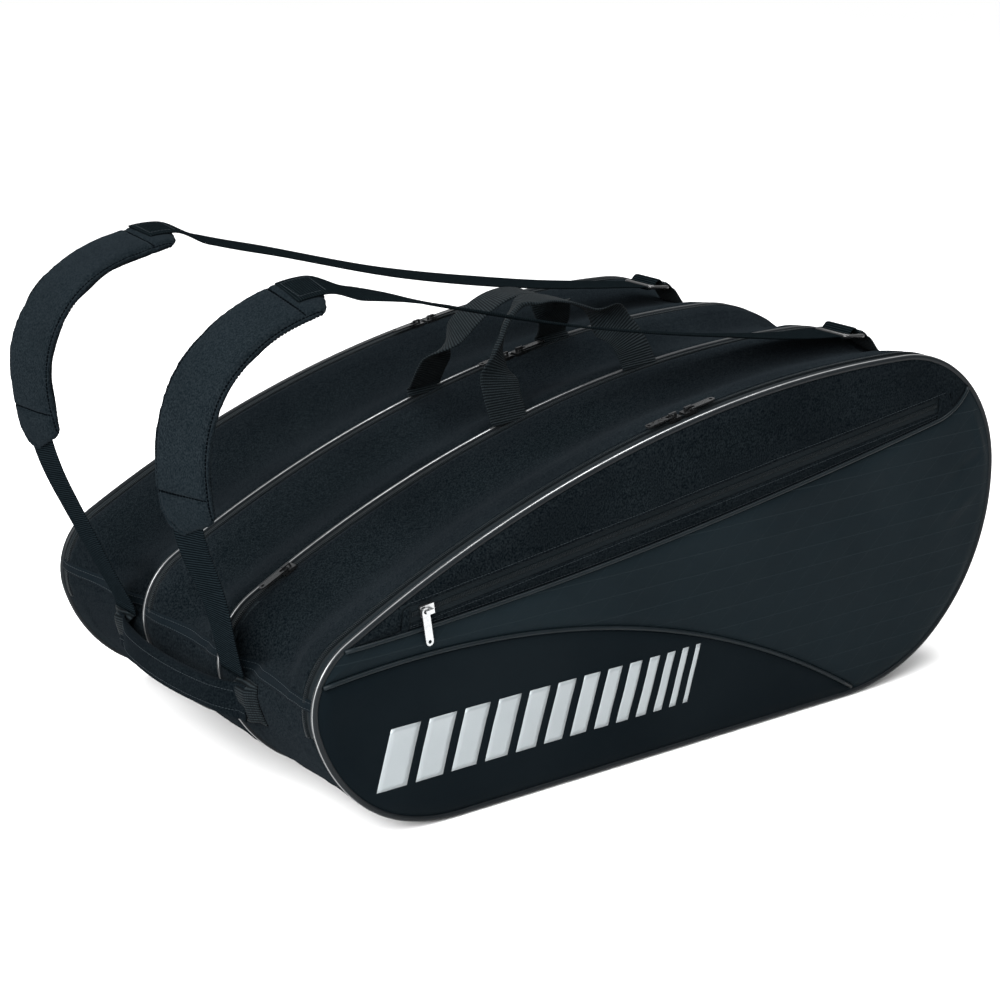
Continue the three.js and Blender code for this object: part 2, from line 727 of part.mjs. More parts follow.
const PAD_WIDTH = 72;
const PAD = 13;
const STRAPS = {
  front: [
    [-383, -98, 130], [-396, -100, 188], [-411, -102, 243], [-419, -103, 291],
    [-418, -105, 333], [-404, -106, 371], [-377, -107, 399], [-346, -108, 417],
    [-306, -110, 429], [-244, -112, 425], [-160, -114, 403], [-43, -117, 373],
    [80, -120, 349], [200, -122, 331], [262, -122, 325],
  ],
  rear: [
    [-383, 93, 130], [-405, 96, 179], [-423, 99, 224], [-437, 101, 263],
    [-447, 105, 310], [-450, 107, 348], [-444, 108, 376], [-430, 110, 400],
    [-410, 112, 419], [-383, 114, 433], [-350, 116, 442], [-312, 118, 446],
    [-224, 123, 426], [-68, 131, 383], [100, 139, 350], [240, 144, 331],
  ],
};
const PAD_SPAN = { front: [0.13, 0.405], rear: [0.165, 0.435] }; // shares of the strap's length
const PAD_STEPS = 14;

function backpackStrap(name) {
  const route = new THREE.CatmullRomCurve3(STRAPS[name].map((p) => new THREE.Vector3(...p)));
  const length = route.getLength();
  const points = (from, to, steps) =>
    Array.from({ length: steps + 1 }, (_, i) => route.getPointAt(from + ((to - from) * i) / steps));
  const across = () => new THREE.Vector3(0, 1, 0);
  const [padStart, padEnd] = PAD_SPAN[name];
  const gap = WEBBING / 2 / length;
  const lower = points(0, padStart - gap, 5);
  const pad = points(padStart, padEnd, PAD_STEPS);
  const upper = points(padEnd + gap, 1, 10);
  add(`${name}_strap_lower_webbing`, band(lower, across, WEBBING_WIDTH, WEBBING), WEBBING_CLOTH);
  add(`${name}_strap_pad`, band(pad, across, PAD_WIDTH, PAD), PAD_CLOTH);
  add(`${name}_strap_upper_webbing`, band(upper, across, WEBBING_WIDTH, WEBBING), WEBBING_CLOTH);
}

// A ladder-lock buckle: a frame with a slot each side of its middle bar.
const BUCKLE = { length: 28, width: 46, height: 5, rim: 3.2 };
const ANCHOR_AT = { front: [279.4, -122, 325], rear: [257.4, 144, 330] };
const BUCKLE_TILT = { front: -6, rear: -7 };
const BUCKLE_GAP = 3.2; // lets the webbing's end turn beside the buckle's frame

function buckle(name) {
  const { length, width, height, rim: edge } = BUCKLE;
  const outer = box([0, -width / 2, -height / 2], [length, width / 2, height / 2]);
  const slot = (x0, x1) =>
    solid(box([x0, -width / 2 + edge, -height], [x1, width / 2 - edge, height]));
  const frame = solid(outer)
    .subtract(slot(edge, length / 2 - edge / 2))
    .subtract(slot(length / 2 + edge / 2, length - edge));
  const mesh = add(`${name}_strap_buckle`, shape(frame), PLASTIC);
  const start = STRAPS[name][STRAPS[name].length - 1];
  mesh.position.set(start[0] + BUCKLE_GAP, start[1], start[2]);
  mesh.rotation.y = degToRad(-BUCKLE_TILT[name]);
}

function strapAnchor(name) {
  const [x, y, z] = ANCHOR_AT[name];
  const across = () => new THREE.Vector3(0, 1, 0);
  const points = [0, 10, 20, 32, 46].map((d) => new THREE.Vector3(x + 14 + d, y, z - 4 - d * 0.2));
  add(`${name}_strap_anchor`, band(points, across, WEBBING_WIDTH, WEBBING), WEBBING_CLOTH);
}

// ---------- the bag ----------

sideWalls();
panelsAndDividers();
seamPiping();
frontFace();
sliders(zips());
pocketSlider();
for (const [name, seam] of [['front', FRONT_SEAM], ['rear', REAR_SEAM]]) {
  grabHandle(name, seam, HANDLE_LEAN[name]);
  backpackStrap(name);
  buckle(name);
  strapAnchor(name);
}
endHandle();

export default bag;
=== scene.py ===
import math

import bmesh
import bpy
import numpy as np
from mathutils import Matrix, Vector, noise
from mathutils.bvhtree import BVHTree


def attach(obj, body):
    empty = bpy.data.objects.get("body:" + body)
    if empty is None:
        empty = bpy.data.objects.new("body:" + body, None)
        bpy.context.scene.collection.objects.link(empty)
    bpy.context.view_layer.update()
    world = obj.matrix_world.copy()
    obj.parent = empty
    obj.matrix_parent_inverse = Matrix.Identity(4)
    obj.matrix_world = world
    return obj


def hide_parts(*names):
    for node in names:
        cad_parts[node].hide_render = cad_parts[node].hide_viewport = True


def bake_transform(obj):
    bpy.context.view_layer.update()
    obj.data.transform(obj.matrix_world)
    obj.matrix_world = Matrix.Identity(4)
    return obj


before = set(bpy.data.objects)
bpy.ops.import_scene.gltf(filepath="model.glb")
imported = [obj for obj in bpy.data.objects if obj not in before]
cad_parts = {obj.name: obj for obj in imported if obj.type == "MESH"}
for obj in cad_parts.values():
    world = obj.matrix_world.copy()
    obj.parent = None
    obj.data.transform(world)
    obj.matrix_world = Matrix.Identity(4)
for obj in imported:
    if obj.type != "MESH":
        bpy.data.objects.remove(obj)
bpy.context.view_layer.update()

# Lengths are in millimetres; meshes are made in metres.
MM = 0.001
Y = Vector((0, 1, 0))

# ---------- the bag's own dimensions ----------

BASE_RIGHT = 198.0
ARCS = ((187.0, 61.5), (190.0, 32.5), (128.0, 84.0), (None, 31.0), (61.0, 75.5), (141.0, 75.5))
FRONT, FRONT_SEAM, REAR_SEAM, BACK = -225.0, -74.0, 60.0, 225.0
FACE = 228.0  # depth of the faces' outer cloth
PIPING = 3.0
CLEAR = PIPING + 0.35
FOLD_Z, FOLD_REACH = 100.0, 18.0  # the lids' fold line, and a reach in millimetres on both sides of it
END_SEAM = 262.0  # outline heading of the seam that ends the inner zips
VALLEY_TOP, VALLEY_NOSE = 11.0, 20.0
SHELF = 19.0  # flat cloth between a zip and the valley
WEBBING_WIDTH, WEBBING = 38.0, 2.2

# ---------- camera ----------

AIM = Vector((0.0, -25.3, 170.0))
AZIMUTH, ELEVATION, DISTANCE = math.radians(36.86), math.radians(17.38), 2179.0


def aimed(name, data, place, way):
    """Adds a camera or light at place, in metres, that looks along way."""
    obj = bpy.data.objects.new(name, data)
    obj.location = place
    obj.rotation_mode = "QUATERNION"
    obj.rotation_quaternion = way.to_track_quat("-Z", "Y")
    bpy.context.scene.collection.objects.link(obj)
    return obj


def make_camera():
    data = bpy.data.cameras.new("camera")
    data.lens, data.sensor_width, data.clip_end = 83.2, 36, 50
    data.shift_x, data.shift_y = -0.047, 0.013
    level = math.cos(ELEVATION)
    back = Vector((-math.sin(AZIMUTH) * level, -math.cos(AZIMUTH) * level, math.sin(ELEVATION)))
    bpy.context.scene.camera = aimed("camera", data, (AIM + back * DISTANCE) * MM, -back)


make_camera()

# ---------- the outline ----------

BASE, LAP = 360.0, 400.0  # headings up to BASE go round the arcs, and on to LAP along the base


def normal_at(t):
    """x and z of the outward normal at heading t in degrees."""
    return math.sin(math.radians(t)), -math.cos(math.radians(t))


def place_arcs():
    """(radius, start, end, centre x, centre z) of each arc; the slope's radius closes the outline."""
    heading, rise, slope = 0.0, 0.0, 0.0
    for radius, turn in ARCS:
        share = normal_at(heading + turn)[1] - normal_at(heading)[1]
        if radius:
            rise += radius * share
        else:
            slope = share
        heading += turn
    chain, start, x, z = [], 0.0, BASE_RIGHT, 0.0
    for radius, turn in ARCS:
        r, end = radius or -rise / slope, start + turn
        (ax, az), (bx, bz) = normal_at(start), normal_at(end)
        cx, cz = x - r * ax, z - r * az
        chain.append((r, start, end, cx, cz))
        x, z, start = cx + r * bx, cz + r * bz, end
    return chain


CHAIN = place_arcs()
BASE_LEFT = CHAIN[-1][3]


def rim(t):
    """x, z and outward normal nx, nz of the outline at heading t."""
    t = t % LAP
    if t >= BASE:
        return BASE_LEFT + (t - BASE) / (LAP - BASE) * (BASE_RIGHT - BASE_LEFT), 0.0, 0.0, -1.0
    r, _, _, cx, cz = next(a for a in CHAIN if t <= a[2])
    nx, nz = normal_at(t)
    return cx + r * nx, cz + r * nz, nx, nz


def on_rim(t, y, n=0.0):
    x, z, nx, nz = rim(t)
    return (x + n * nx, y, z + n * nz)


def headings(spacing, t0=0.0, t1=LAP):
    """Headings about spacing apart along the outline, from t0 to t1."""
    base_radius = (BASE_RIGHT - BASE_LEFT) / math.radians(LAP - BASE)
    marks = [t0]
    for radius, start, end, *_ in [*CHAIN, (base_radius, BASE, LAP)]:
        lo, hi = max(start, t0), min(end, t1)
        if hi - lo >= 1e-6:
            steps = max(1, math.ceil(math.radians(hi - lo) * radius / spacing))
            marks += [lo + (hi - lo) * i / steps for i in range(1, steps + 1)]
    return marks


def smooth(x, lo, hi):
    x = min(1.0, max(0.0, (x - lo) / (hi - lo)))
    return x * x * (3 - 2 * x)


def flatness(t):
    """1 on the base, falling to 0 round both ends."""
    t = t % LAP
    return 1.0 if t >= BASE else 1.0 - smooth(min(t, BASE - t), 0, 40)


def seam_line(t):
    return -CLEAR * flatness(t)


def valley(t):
    """Depth of the soft fold along the middle of a compartment's top."""
    t = t % LAP
    top = VALLEY_TOP * smooth(t, 20, 90)
    nose = (VALLEY_NOSE - VALLEY_TOP) * smooth(t, 180, 235)
    return (top + nose) * (1 - smooth(t, 240, 275))


def crossing(lo, hi, before):
    """The heading between lo and hi up to which before(heading) is true."""
    for _ in range(50):
        mid = (lo + hi) / 2
        lo, hi = (mid, hi) if before(mid) else (lo, mid)
    return lo


def heading_at_height(z, lo, hi):
    rising = rim(hi)[1] > rim(lo)[1]
    return crossing(lo, hi, lambda t: (rim(t)[1] < z) == rising)


def top_heading(x):
    return crossing(95.0, 209.0, lambda t: rim(t)[0] > x)


FOLD_RIGHT = heading_at_height(FOLD_Z + 0.5, 10, 120)
FOLD_LEFT = heading_at_height(FOLD_Z + 0.5, 240, 350)

# ---------- meshes ----------


def link(name, mesh, looks, body=None, replaces=(), slot=None):
    """Adds a piece that wears the looks of these names."""
    obj = bpy.data.objects.new(name, mesh)
    bpy.context.scene.collection.objects.link(obj)
    mesh.materials.clear()
    for look in looks.split():
        mesh.materials.append(LOOKS[look])
    if body:
        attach(obj, body)
    if replaces:
        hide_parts(*replaces)
    return obj


def modify(obj, kind, **values):
    mod = obj.modifiers.new(kind.lower(), kind)
    for key, value in values.items():
        setattr(mod, key, value)
    return mod


def grid_mesh(name, points, uv, index=None, capped=False):
    """Quads over points[i][j], with UVs in metres; rows or columns that meet are welded."""
    bm = bmesh.new()
    verts = [[bm.verts.new(Vector(p) * MM) for p in row] for row in points]
    layer = bm.loops.layers.uv.new("UVMap")
    for i in range(len(points) - 1):
        for j in range(len(points[0]) - 1):
            corners = ((i, j), (i + 1, j), (i + 1, j + 1), (i, j + 1))
            face = bm.faces.new([verts[a][b] for a, b in corners])
            face.smooth = True
            if index:
                face.material_index = index(i, j)
            for loop, (a, b) in zip(face.loops, corners):
                loop[layer].uv = Vector(uv[a][b]) * MM
    bmesh.ops.remove_doubles(bm, verts=bm.verts, dist=2e-6)
    if capped:
        bmesh.ops.holes_fill(bm, edges=[e for e in bm.edges if e.is_boundary], sides=0)
    bmesh.ops.recalc_face_normals(bm, faces=bm.faces)
    mesh = bpy.data.meshes.new(name)
    bm.to_mesh(mesh)
    bm.free()
    return mesh


def panel(name, points, uv, outward, looks, thickness, index=None, **kw):
    """An open sheet whose outer face looks along outward(centre)."""
    mesh = grid_mesh(name, points, uv, index)
    if sum(p.normal.dot(outward(p.center)) * p.area for p in mesh.polygons) < 0:
        mesh.flip_normals()
    obj = link(name, mesh, looks, **kw)
    if thickness:
        modify(obj, "SOLIDIFY", thickness=thickness * MM, offset=-1.0)
    return obj


def lengths(points):
    """Running length along points."""
    out = [0.0]
    for a, b in zip(points, points[1:]):
        out.append(out[-1] + (Vector(b) - Vector(a)).length)
    return out


def directions(path):
    """The direction of a path at each of its points."""
    padded = [path[0], *path, path[-1]]
    return [(after - before).normalized() for before, after in zip(padded, padded[2:])]


def tube(name, centre, frames, radius, sides, looks, closed=True, index=None, **kw):
    """A tube along centre; frames(i) gives two unit vectors across it."""
    turns = [2 * math.pi * j / sides for j in range(sides + 1)]
    points = []
    for i, c in enumerate(centre):
        a, b = frames(i)
        points.append([Vector(c) + radius * (math.cos(turn) * a + math.sin(turn) * b) for turn in turns])
    uv = [[(along, radius * turn) for turn in turns] for along in lengths(centre)]
    return link(name, grid_mesh(name, points, uv, index, capped=not closed), looks, **kw)


# ---------- materials ----------


class Look:
    """A procedural material. UVs are in metres along and across a piece; place is the piece's own space."""

    def __init__(self, name, color, roughness, metallic=0.0, specular=0.5, sheen=0.0):
        self.material = bpy.data.materials.new(name)
        self.material.use_nodes = True
        self.tree = self.material.node_tree
        self.shader = self.tree.nodes["Principled BSDF"]
        self.set("Base Color", (*color, 1))
        self.set("Roughness", roughness)
        self.set("Metallic", metallic)
        self.set("Specular IOR Level", specular)
        self.set("Sheen Weight", sheen)
        self.place = self.node("TexCoord").outputs["Object"]
        split = self.node("SeparateXYZ", self.node("UVMap").outputs["UV"])
        self.along, self.across = split.outputs["X"], split.outputs["Y"]

    def set(self, key, value, node=None):
        """Sets an input of the shader, or of another node, to a value or links it to a socket."""
        socket = (node or self.shader).inputs[key]
        if isinstance(value, bpy.types.NodeSocket):
            self.tree.links.new(value, socket)
        elif value is not None:
            socket.default_value = value

    def node(self, kind, *inputs, operation=None, **named):
        n = self.tree.nodes.new("ShaderNode" + kind)
        if operation:
            n.operation = operation
        for key, value in [*enumerate(inputs), *named.items()]:
            self.set(key, value, n)
        return n

    def math(self, operation, a, b=None):
        return self.node("Math", a, b, operation=operation).outputs[0]

    def noise(self, scale, detail=2.0, stretch=None, roughness=0.5):
        vector = self.place
        if stretch:
            vector = self.node("VectorMath", vector, stretch, operation="MULTIPLY").outputs[0]
        n = self.node("TexNoise", Vector=vector, Scale=scale, Detail=detail, Roughness=roughness)
        return n.outputs["Fac"]

    def wave(self, coordinate, pitch):
        """A sine of that pitch in millimetres, from 0 to 1."""
        turned = self.math("MULTIPLY", coordinate, 2 * math.pi / (pitch * MM))
        return self.math("ADD", self.math("MULTIPLY", self.math("SINE", turned), 0.5), 0.5)

    def share(self, coordinate, pitch):
        """Runs from 0 to 1 over each pitch millimetres."""
        return self.math("FRACT", self.math("DIVIDE", coordinate, pitch * MM))

    def away(self, value, at):
        return self.math("ABSOLUTE", self.math("SUBTRACT", value, at))

    def remap(self, value, lo=0.3, hi=0.7, to_lo=0.0, to_hi=1.0):
        return self.node("MapRange", value, lo, hi, to_lo, to_hi).outputs[0]

    def mix(self, factor, a, b):
        """Mixes two colours, each a socket or (r, g, b)."""
        n = self.node("Mix")
        n.data_type = "RGBA"
        for key, value in ((0, factor), (6, a), (7, b)):
            self.set(key, (*value, 1) if isinstance(value, tuple) else value, n)
        return n.outputs[2]

    def color(self, factor, a, b):
        self.set("Base Color", self.mix(factor, a, b))

    def bump(self, height, millimetres, strength=1.0):
        """Adds relief: height runs from 0 to 1 over that many millimetres."""
        before = self.shader.inputs["Normal"].links
        n = self.node("Bump", Height=height, Distance=millimetres * MM, Strength=strength)
        if before:
            self.set("Normal", before[0].from_socket, n)
        self.set("Normal", n.outputs[0])

    def ripples(self, strength):
        """The relief of thin coated cloth over padding."""
        self.bump(self.noise(18, 3, (0.5, 1, 1.6)), 2.2, strength)

    def lines(self, coordinate, pitch, strength=1.0):
        """1 everywhere but in thin lines that are pitch millimetres apart."""
        off = self.away(self.share(coordinate, pitch), 0.5)
        return self.remap(off, 0.0, 0.6 / pitch, 1.0 - strength, 1.0)

    def stitches(self, at, pitch=3.4, share=0.72, width=0.9):
        """1 on the threads of a stitch row, at millimetres across the piece."""
        dash = self.math("LESS_THAN", self.share(self.along, pitch), share)
        near = self.math("LESS_THAN", self.away(self.across, at * MM), width / 2 * MM)
        return self.math("MULTIPLY", dash, near)


def woven(name, dark, light):
    """Heathered polyester: two tones of yarn, a fine weave and slow variation."""
    look = Look(name, dark, 0.9, specular=0.0, sheen=0.012)
    look.set("Sheen Tint", (0.55, 0.65, 0.75, 1))
    yarn = look.remap(look.noise(850, 1.5, (1, 1, 0.7), 0.6), 0.36, 0.66)
    slow = look.remap(look.noise(9, 2), 0.3, 0.7, 0.0, 0.35)
    look.color(slow, look.mix(yarn, dark, light), tuple(c * 0.55 for c in dark))
    look.bump(look.noise(1600, 1), 0.2, 0.5)
    look.bump(look.noise(60, 2), 0.5, 0.25)
    return look


def webbing_look(name, dark, light, pitch=2.3, shine=0.0):
    """Ribs across the webbing, pitch apart, crossed by its yarns."""
    look = Look(name, dark, 0.75, specular=shine, sheen=shine / 2)
    ribs = look.wave(look.along, pitch)
    yarn = look.wave(look.across, 1.6)
    base = look.mix(look.math("MULTIPLY", ribs, look.remap(yarn, 0, 1, 0.6, 1)), dark, light)
    look.color(look.remap(look.noise(300, 2), 0.3, 0.7, 0.0, 0.4), base, dark)
    look.bump(ribs, 0.5)
    look.bump(yarn, 0.2, 0.6)
    return look


def coated_look(name, color, roughness, specular, tones, gloss, relief, lined=False):
    """Thin coated cloth in two tones, with ripples; lined adds fine pressed lines."""
    look = Look(name, color, roughness, specular=specular)
    shade = look.mix(look.remap(look.noise(7, 3)), *tones)
    if lined:
        slanted = look.math("SUBTRACT", look.across, look.math("MULTIPLY", look.along, 0.85))
        groove = look.math("MINIMUM", look.lines(look.across, 19), look.lines(slanted, 31, 0.5))
        shade = look.mix(groove, (0.0082, 0.0125, 0.0148), shade)
        look.bump(groove, 0.35, 0.6)
    look.set("Base Color", shade)
    look.set("Roughness", look.remap(look.noise(26, 4), 0.3, 0.75, *gloss))
    look.ripples(relief)
    look.bump(look.noise(1500, 1), 0.06, 0.5)
    return look


def piping_painted_highlight_look(name, crest, shine=0.24, fading_highlight=False):
    """Dark coated cord with a thin silver line painted where its highlight falls, a painted highlight; crest
    is the line's distance round the cord in millimetres.

    Between the compartments the painted highlight fades towards the high end, which is painted shade.
    """
    look = Look(name, (0.006, 0.008, 0.009), 0.35, specular=0.09)
    # The line: a lighter, metallic stripe round the cord where the highlight falls, a painted highlight;
    # shine is its brightness.
    line = look.remap(look.away(look.across, crest * MM), 0.2 * MM, 0.7 * MM, 1.0, 0.0)
    line = look.math("MULTIPLY", line, look.remap(look.noise(60, 3), 0.3, 0.7, 0.6, 1.0))
    # The painted highlight fades towards high x: painted shade.
    if fading_highlight:
        x = look.node("SeparateXYZ", look.place).outputs["X"]
        line = look.math("MULTIPLY", line, look.remap(x, -0.14, 0.04, 1.0, 0.12))
    dark = look.mix(look.noise(50, 3), (0.0030, 0.0042, 0.0052), (0.0065, 0.0082, 0.0095))
    look.color(line, dark, (shine, shine * 1.02, shine * 1.03))
    look.set("Metallic", line)
    look.bump(look.noise(90, 2), 0.5, 0.3)
    return look


def tape_look():
    look = Look("zip_tape", (0.01, 0.013, 0.015), 0.6, specular=0.03, sheen=0.01)
    ribs, thread = look.wave(look.across, 1.3), look.stitches(1.4)
    cloth = look.mix(ribs, (0.0020, 0.0036, 0.0047), (0.0052, 0.0080, 0.0097))
    look.color(thread, cloth, (0.012, 0.016, 0.018))
    look.bump(look.wave(look.along, 1.1), 0.15, 0.6)
    look.bump(ribs, 0.15, 0.6)
    look.bump(thread, 0.4)
    return look


def binding_look():
    look = Look("seam_binding", (0.006, 0.008, 0.0095), 0.8, specular=0.0, sheen=0.01)
    grain = look.wave(look.along, 1.2)
    look.color(grain, (0.0010, 0.0020, 0.0030), (0.0048, 0.0074, 0.0092))
    look.bump(grain, 0.2, 0.5)
    return look


def speckled(name, color, roughness, tones, scale, detail, **kw):
    """Two tones mixed by a noise."""
    look = Look(name, color, roughness, **kw)
    look.color(look.noise(scale, detail), *tones)
    return look


def worn_gloss(look):
    look.set("Roughness", look.remap(look.noise(300, 3), 0.3, 0.7, 0.2, 0.4))
    return look


def make_looks():
    looks = {
        "cloth": woven("body_cloth", (0.0007, 0.0015, 0.0023), (0.0070, 0.0094, 0.0108)),
        "pad": woven("pad_cloth", (0.0022, 0.0038, 0.0050), (0.0082, 0.0112, 0.0132)),
        "lining": woven("lining", (0.010, 0.011, 0.012), (0.018, 0.019, 0.021)),
        "end_cloth": woven("end_cloth", (0.0008, 0.0016, 0.0023), (0.0044, 0.0062, 0.0074)),
        "end_panel": webbing_look("end_panel", (0.0028, 0.0045, 0.006), (0.0115, 0.0158, 0.0185), 1.9, 0.02),
        "webbing": webbing_look("webbing", (0.0008, 0.0015, 0.0020), (0.0125, 0.0170, 0.0192), shine=0.02),
        # A darker copy of the webbing for the strap's lower, down-facing webbing: painted shade.
        "shaded_low_webbing": webbing_look("shaded_low_webbing", (0.0008, 0.0014, 0.0018), (0.0080, 0.0120, 0.0145)),
        "strap_webbing": webbing_look("strap_webbing", (0.0006, 0.0012, 0.0016), (0.0068, 0.0098, 0.0113)),
        "coated": coated_look(
            "coated_cloth", (0.012, 0.016, 0.018), 0.5, 0.015,
            ((0.0038, 0.0064, 0.0081), (0.0052, 0.0087, 0.0108)), (0.4, 0.56), 0.3, lined=True,
        ),
        "arc": coated_look(
            "arc_cloth", (0.004, 0.0055, 0.0075), 0.55, 0.01,
            ((0.0020, 0.0036, 0.0048), (0.0034, 0.0054, 0.0068)), (0.45, 0.6), 0.25,
        ),
        "thread": speckled(
            "thread", (0.012, 0.015, 0.017), 0.6,
            ((0.006, 0.009, 0.011), (0.014, 0.018, 0.021)), 900, 1, specular=0.06,
        ),
        # Very dark thread for the pads' real stitches, darkened to paint the shade in the seam's groove.
        "pad_thread": speckled(
            "pad_thread", (0.0008, 0.0013, 0.0018), 0.8,
            ((0.0002, 0.0004, 0.0006), (0.0012, 0.0019, 0.0025)), 900, 1, specular=0.0,
        ),
        # Each piping wears a painted highlight line at its crest.
        "piping": piping_painted_highlight_look("silver_piping", 5.9),
        "back_piping": piping_painted_highlight_look("back_silver_piping", 3.5),
        # Its painted highlight fades towards the high end: painted shade.
        "inner_piping": piping_painted_highlight_look("inner_silver_piping", 5.4, fading_highlight=True),
        # The same piping with a dimmer painted highlight, for the base and low ends: painted shade.
        "low_piping": piping_painted_highlight_look("low_piping", 5.9, 0.06),
        "face_piping": speckled(
            "face_piping", (0.005, 0.0075, 0.009), 0.35,
            ((0.0026, 0.0046, 0.0058), (0.0052, 0.0082, 0.0100)), 50, 3, specular=0.07,
        ),
        "tape": tape_look(),
        "coil": speckled(
            "zip_coil", (0.006, 0.008, 0.009), 0.4,
            ((0.0020, 0.0032, 0.0040), (0.0062, 0.0086, 0.0100)), 400, 1, specular=0.05,
        ),
        "binding": binding_look(),
        "bright": worn_gloss(speckled(
            "bright_metal", (0.42, 0.43, 0.43), 0.28,
            ((0.3, 0.31, 0.32), (0.5, 0.51, 0.51)), 120, 3, metallic=1.0,
        )),
        "dark": worn_gloss(Look("dark_metal", (0.032, 0.034, 0.036), 0.3, metallic=0.9)),
        "plastic": Look("buckle_plastic", (0.008, 0.0085, 0.009), 0.24),
        "print": speckled(
            "silver_print", (0.3, 0.32, 0.33), 0.4,
            ((0.18, 0.2, 0.21), (0.28, 0.305, 0.315)), 11, 3, metallic=0.4,
        ),
        "floor": speckled(
            "floor", (0.8, 0.8, 0.8), 0.9, ((0.79, 0.79, 0.79), (0.82, 0.82, 0.82)), 0.8, 2, specular=0.0
        ),
    }
    cord, plastic = looks["face_piping"], looks["plastic"]
    cord.bump(cord.noise(120, 2), 0.5, 0.3)
    plastic.bump(plastic.noise(500, 2), 0.05, 0.5)
    looks["print"].ripples(0.3)
    return {name: look.material for name, look in looks.items()}


LOOKS = make_looks()

# ---------- gussets: the cloth of bottom, ends and top ----------

INNER_ZIP = (40.0, END_SEAM - 1.5)  # headings between which the inner zips run
HEM_RISE, HEM_RUN = 0.7, 12.0  # how far a hem stands up, and the width over which it does


def lid_share(t):
    """1 where a lid's zip runs, and 0 on the feet of both ends and the base."""
    t = t % LAP
    return smooth(t, FOLD_RIGHT - 2, FOLD_RIGHT + 1) * (1 - smooth(t, FOLD_LEFT - 1, FOLD_LEFT + 2))


def inner_zip_share(t):
    t = t % LAP
    return smooth(t, 38, 41) * (1 - smooth(t, END_SEAM - 3, END_SEAM - 1))


class Gusset:
    """One compartment's cloth between two seams; beside a zip it is drawn back to a hem.

    A pit is (heading, depth, width along, width across, how deep it is). The end is plain cloth between
    the two depths in plain, and woven like a strap outside them.
    """

    def __init__(self, seams, hems, pits, plain):
        self.seams, self.hems, self.pits, self.plain = seams, hems, pits, plain

    def drawn(self, t):
        """How far the cloth is drawn back to each hem, from 0 to 1."""
        y0, y1 = self.seams
        return (
            lid_share(t) if abs(y0 - FRONT) < 5 else 0.0,
            lid_share(t) if abs(y1 - BACK) < 5 else inner_zip_share(t),
        )

    def edges(self, t):
        sides = zip(self.seams, self.hems, self.drawn(t))
        return [y if hem is None else y + (hem - y) * share for y, hem, share in sides]

    def height(self, t, y):
        """How far the cloth stands off the outline."""
        y0, y1 = self.seams
        left = y0 + (SHELF if self.hems[0] is not None else 0)
        right = y1 - (SHELF if self.hems[1] is not None else 0)
        v = min(1.0, max(0.0, (y - left) / (right - left)))
        dip = math.sin(math.pi * v ** (math.log(0.5) / math.log(0.55))) ** 2
        n = -valley(t) * dip
        for at_t, at_y, wide_t, wide_y, depth in self.pits:
            n -= depth * math.exp(-(((t % LAP - at_t) / wide_t) ** 2) - ((y - at_y) / wide_y) ** 2)
        for hem, share in zip(self.hems, self.drawn(t)):
            if hem is not None:
                n += HEM_RISE * share * (1 - smooth(abs(y - hem), 1.5, HEM_RUN))
        edge, upright = min(y - y0, y1 - y), 1 - flatness(t)
        broad = noise.noise(Vector((t * 0.06, y * 0.016, 3.0 + y0 * 0.1)))
        fine = noise.noise(Vector((t * 0.22, y * 0.05, 7.0 + y0)))
        n += upright * (2.6 * smooth(edge, 0, 30) * broad + 0.8 * smooth(edge, 0, 10) * fine)
        if y0 + 0.01 < y < y1 - 0.01:
            n += 1.2 * smooth(edge, 0, 14) * upright * (1 if dip < 0.2 else 0.3)
        return n

    def over(self, t, y, lift):
        """The point lift above the cloth."""
        return on_rim(t, y, self.height(t, y) + lift)


PANEL_FOOT, PANEL_RISE = 290.0, 12.0  # headings of the bottom cloth's ends
FRONT_COIL, BACK_COIL = -212.1, 212.1
INNER_COILS = {"front_divider": -84.85, "rear_divider": 49.15}
HEM = 2.7  # from a coil's middle to the cloth's edge
TUCK = 1.5  # each cloth runs in under the piping to this distance from its middle
MIDDLE_Z = 150.0

GUSSETS = {
    "front": Gusset(
        (FRONT + TUCK, FRONT_SEAM - TUCK),
        (FRONT_COIL + HEM, INNER_COILS["front_divider"] - HEM),
        ((256, -112, 14, 15, 13), (225, -125, 30, 30, 4)),
        (-112, 600),
    ),
    "middle": Gusset(
        (FRONT_SEAM + TUCK, REAR_SEAM - TUCK),
        (None, INNER_COILS["rear_divider"] - HEM),
        ((258, -50, 9, 12, 3),),
        (-600, 600),
    ),
    "rear": Gusset(
        (REAR_SEAM + TUCK, BACK - TUCK),
        (None, BACK_COIL - HEM),
        ((250, 82, 26, 16, 17), (215, 100, 30, 30, 4)),
        (-600, 96),
    ),
}


def gusset_piece(name, gusset):
    ts, cols = headings(5.0), 44
    points = []
    for t in ts:
        y0, y1 = gusset.edges(t)
        points.append([gusset.over(t, y0 + (y1 - y0) * j / cols, 0) for j in range(cols + 1)])
    runs = lengths([row[0] for row in points])
    uv = [[(along, p[1]) for p in row] for along, row in zip(runs, points)]
    points[-1] = points[0]

    def pick(i, j):
        t = (ts[i] + ts[i + 1]) / 2
        if t > PANEL_FOOT or t < PANEL_RISE:
            return 1
        return 2 if t > END_SEAM and not gusset.plain[0] <= points[i][j][1] <= gusset.plain[1] else 0

    panel(
        f"{name}_gusset", points, uv, lambda c: Vector((c.x, 0, c.z - MIDDLE_Z * MM)),
        "cloth coated end_panel", 3.0, pick, body="bag", replaces=(f"{name}_side_wall",), slot="body_cloth",
    )


for name, gusset in GUSSETS.items():
    gusset_piece(name, gusset)

# ---------- piping ----------

HIGHLIGHT_FROM, HIGHLIGHT_TO = 62.0, 272.0  # headings; below them the piping wears a copy with a dimmer highlight line, painted shade


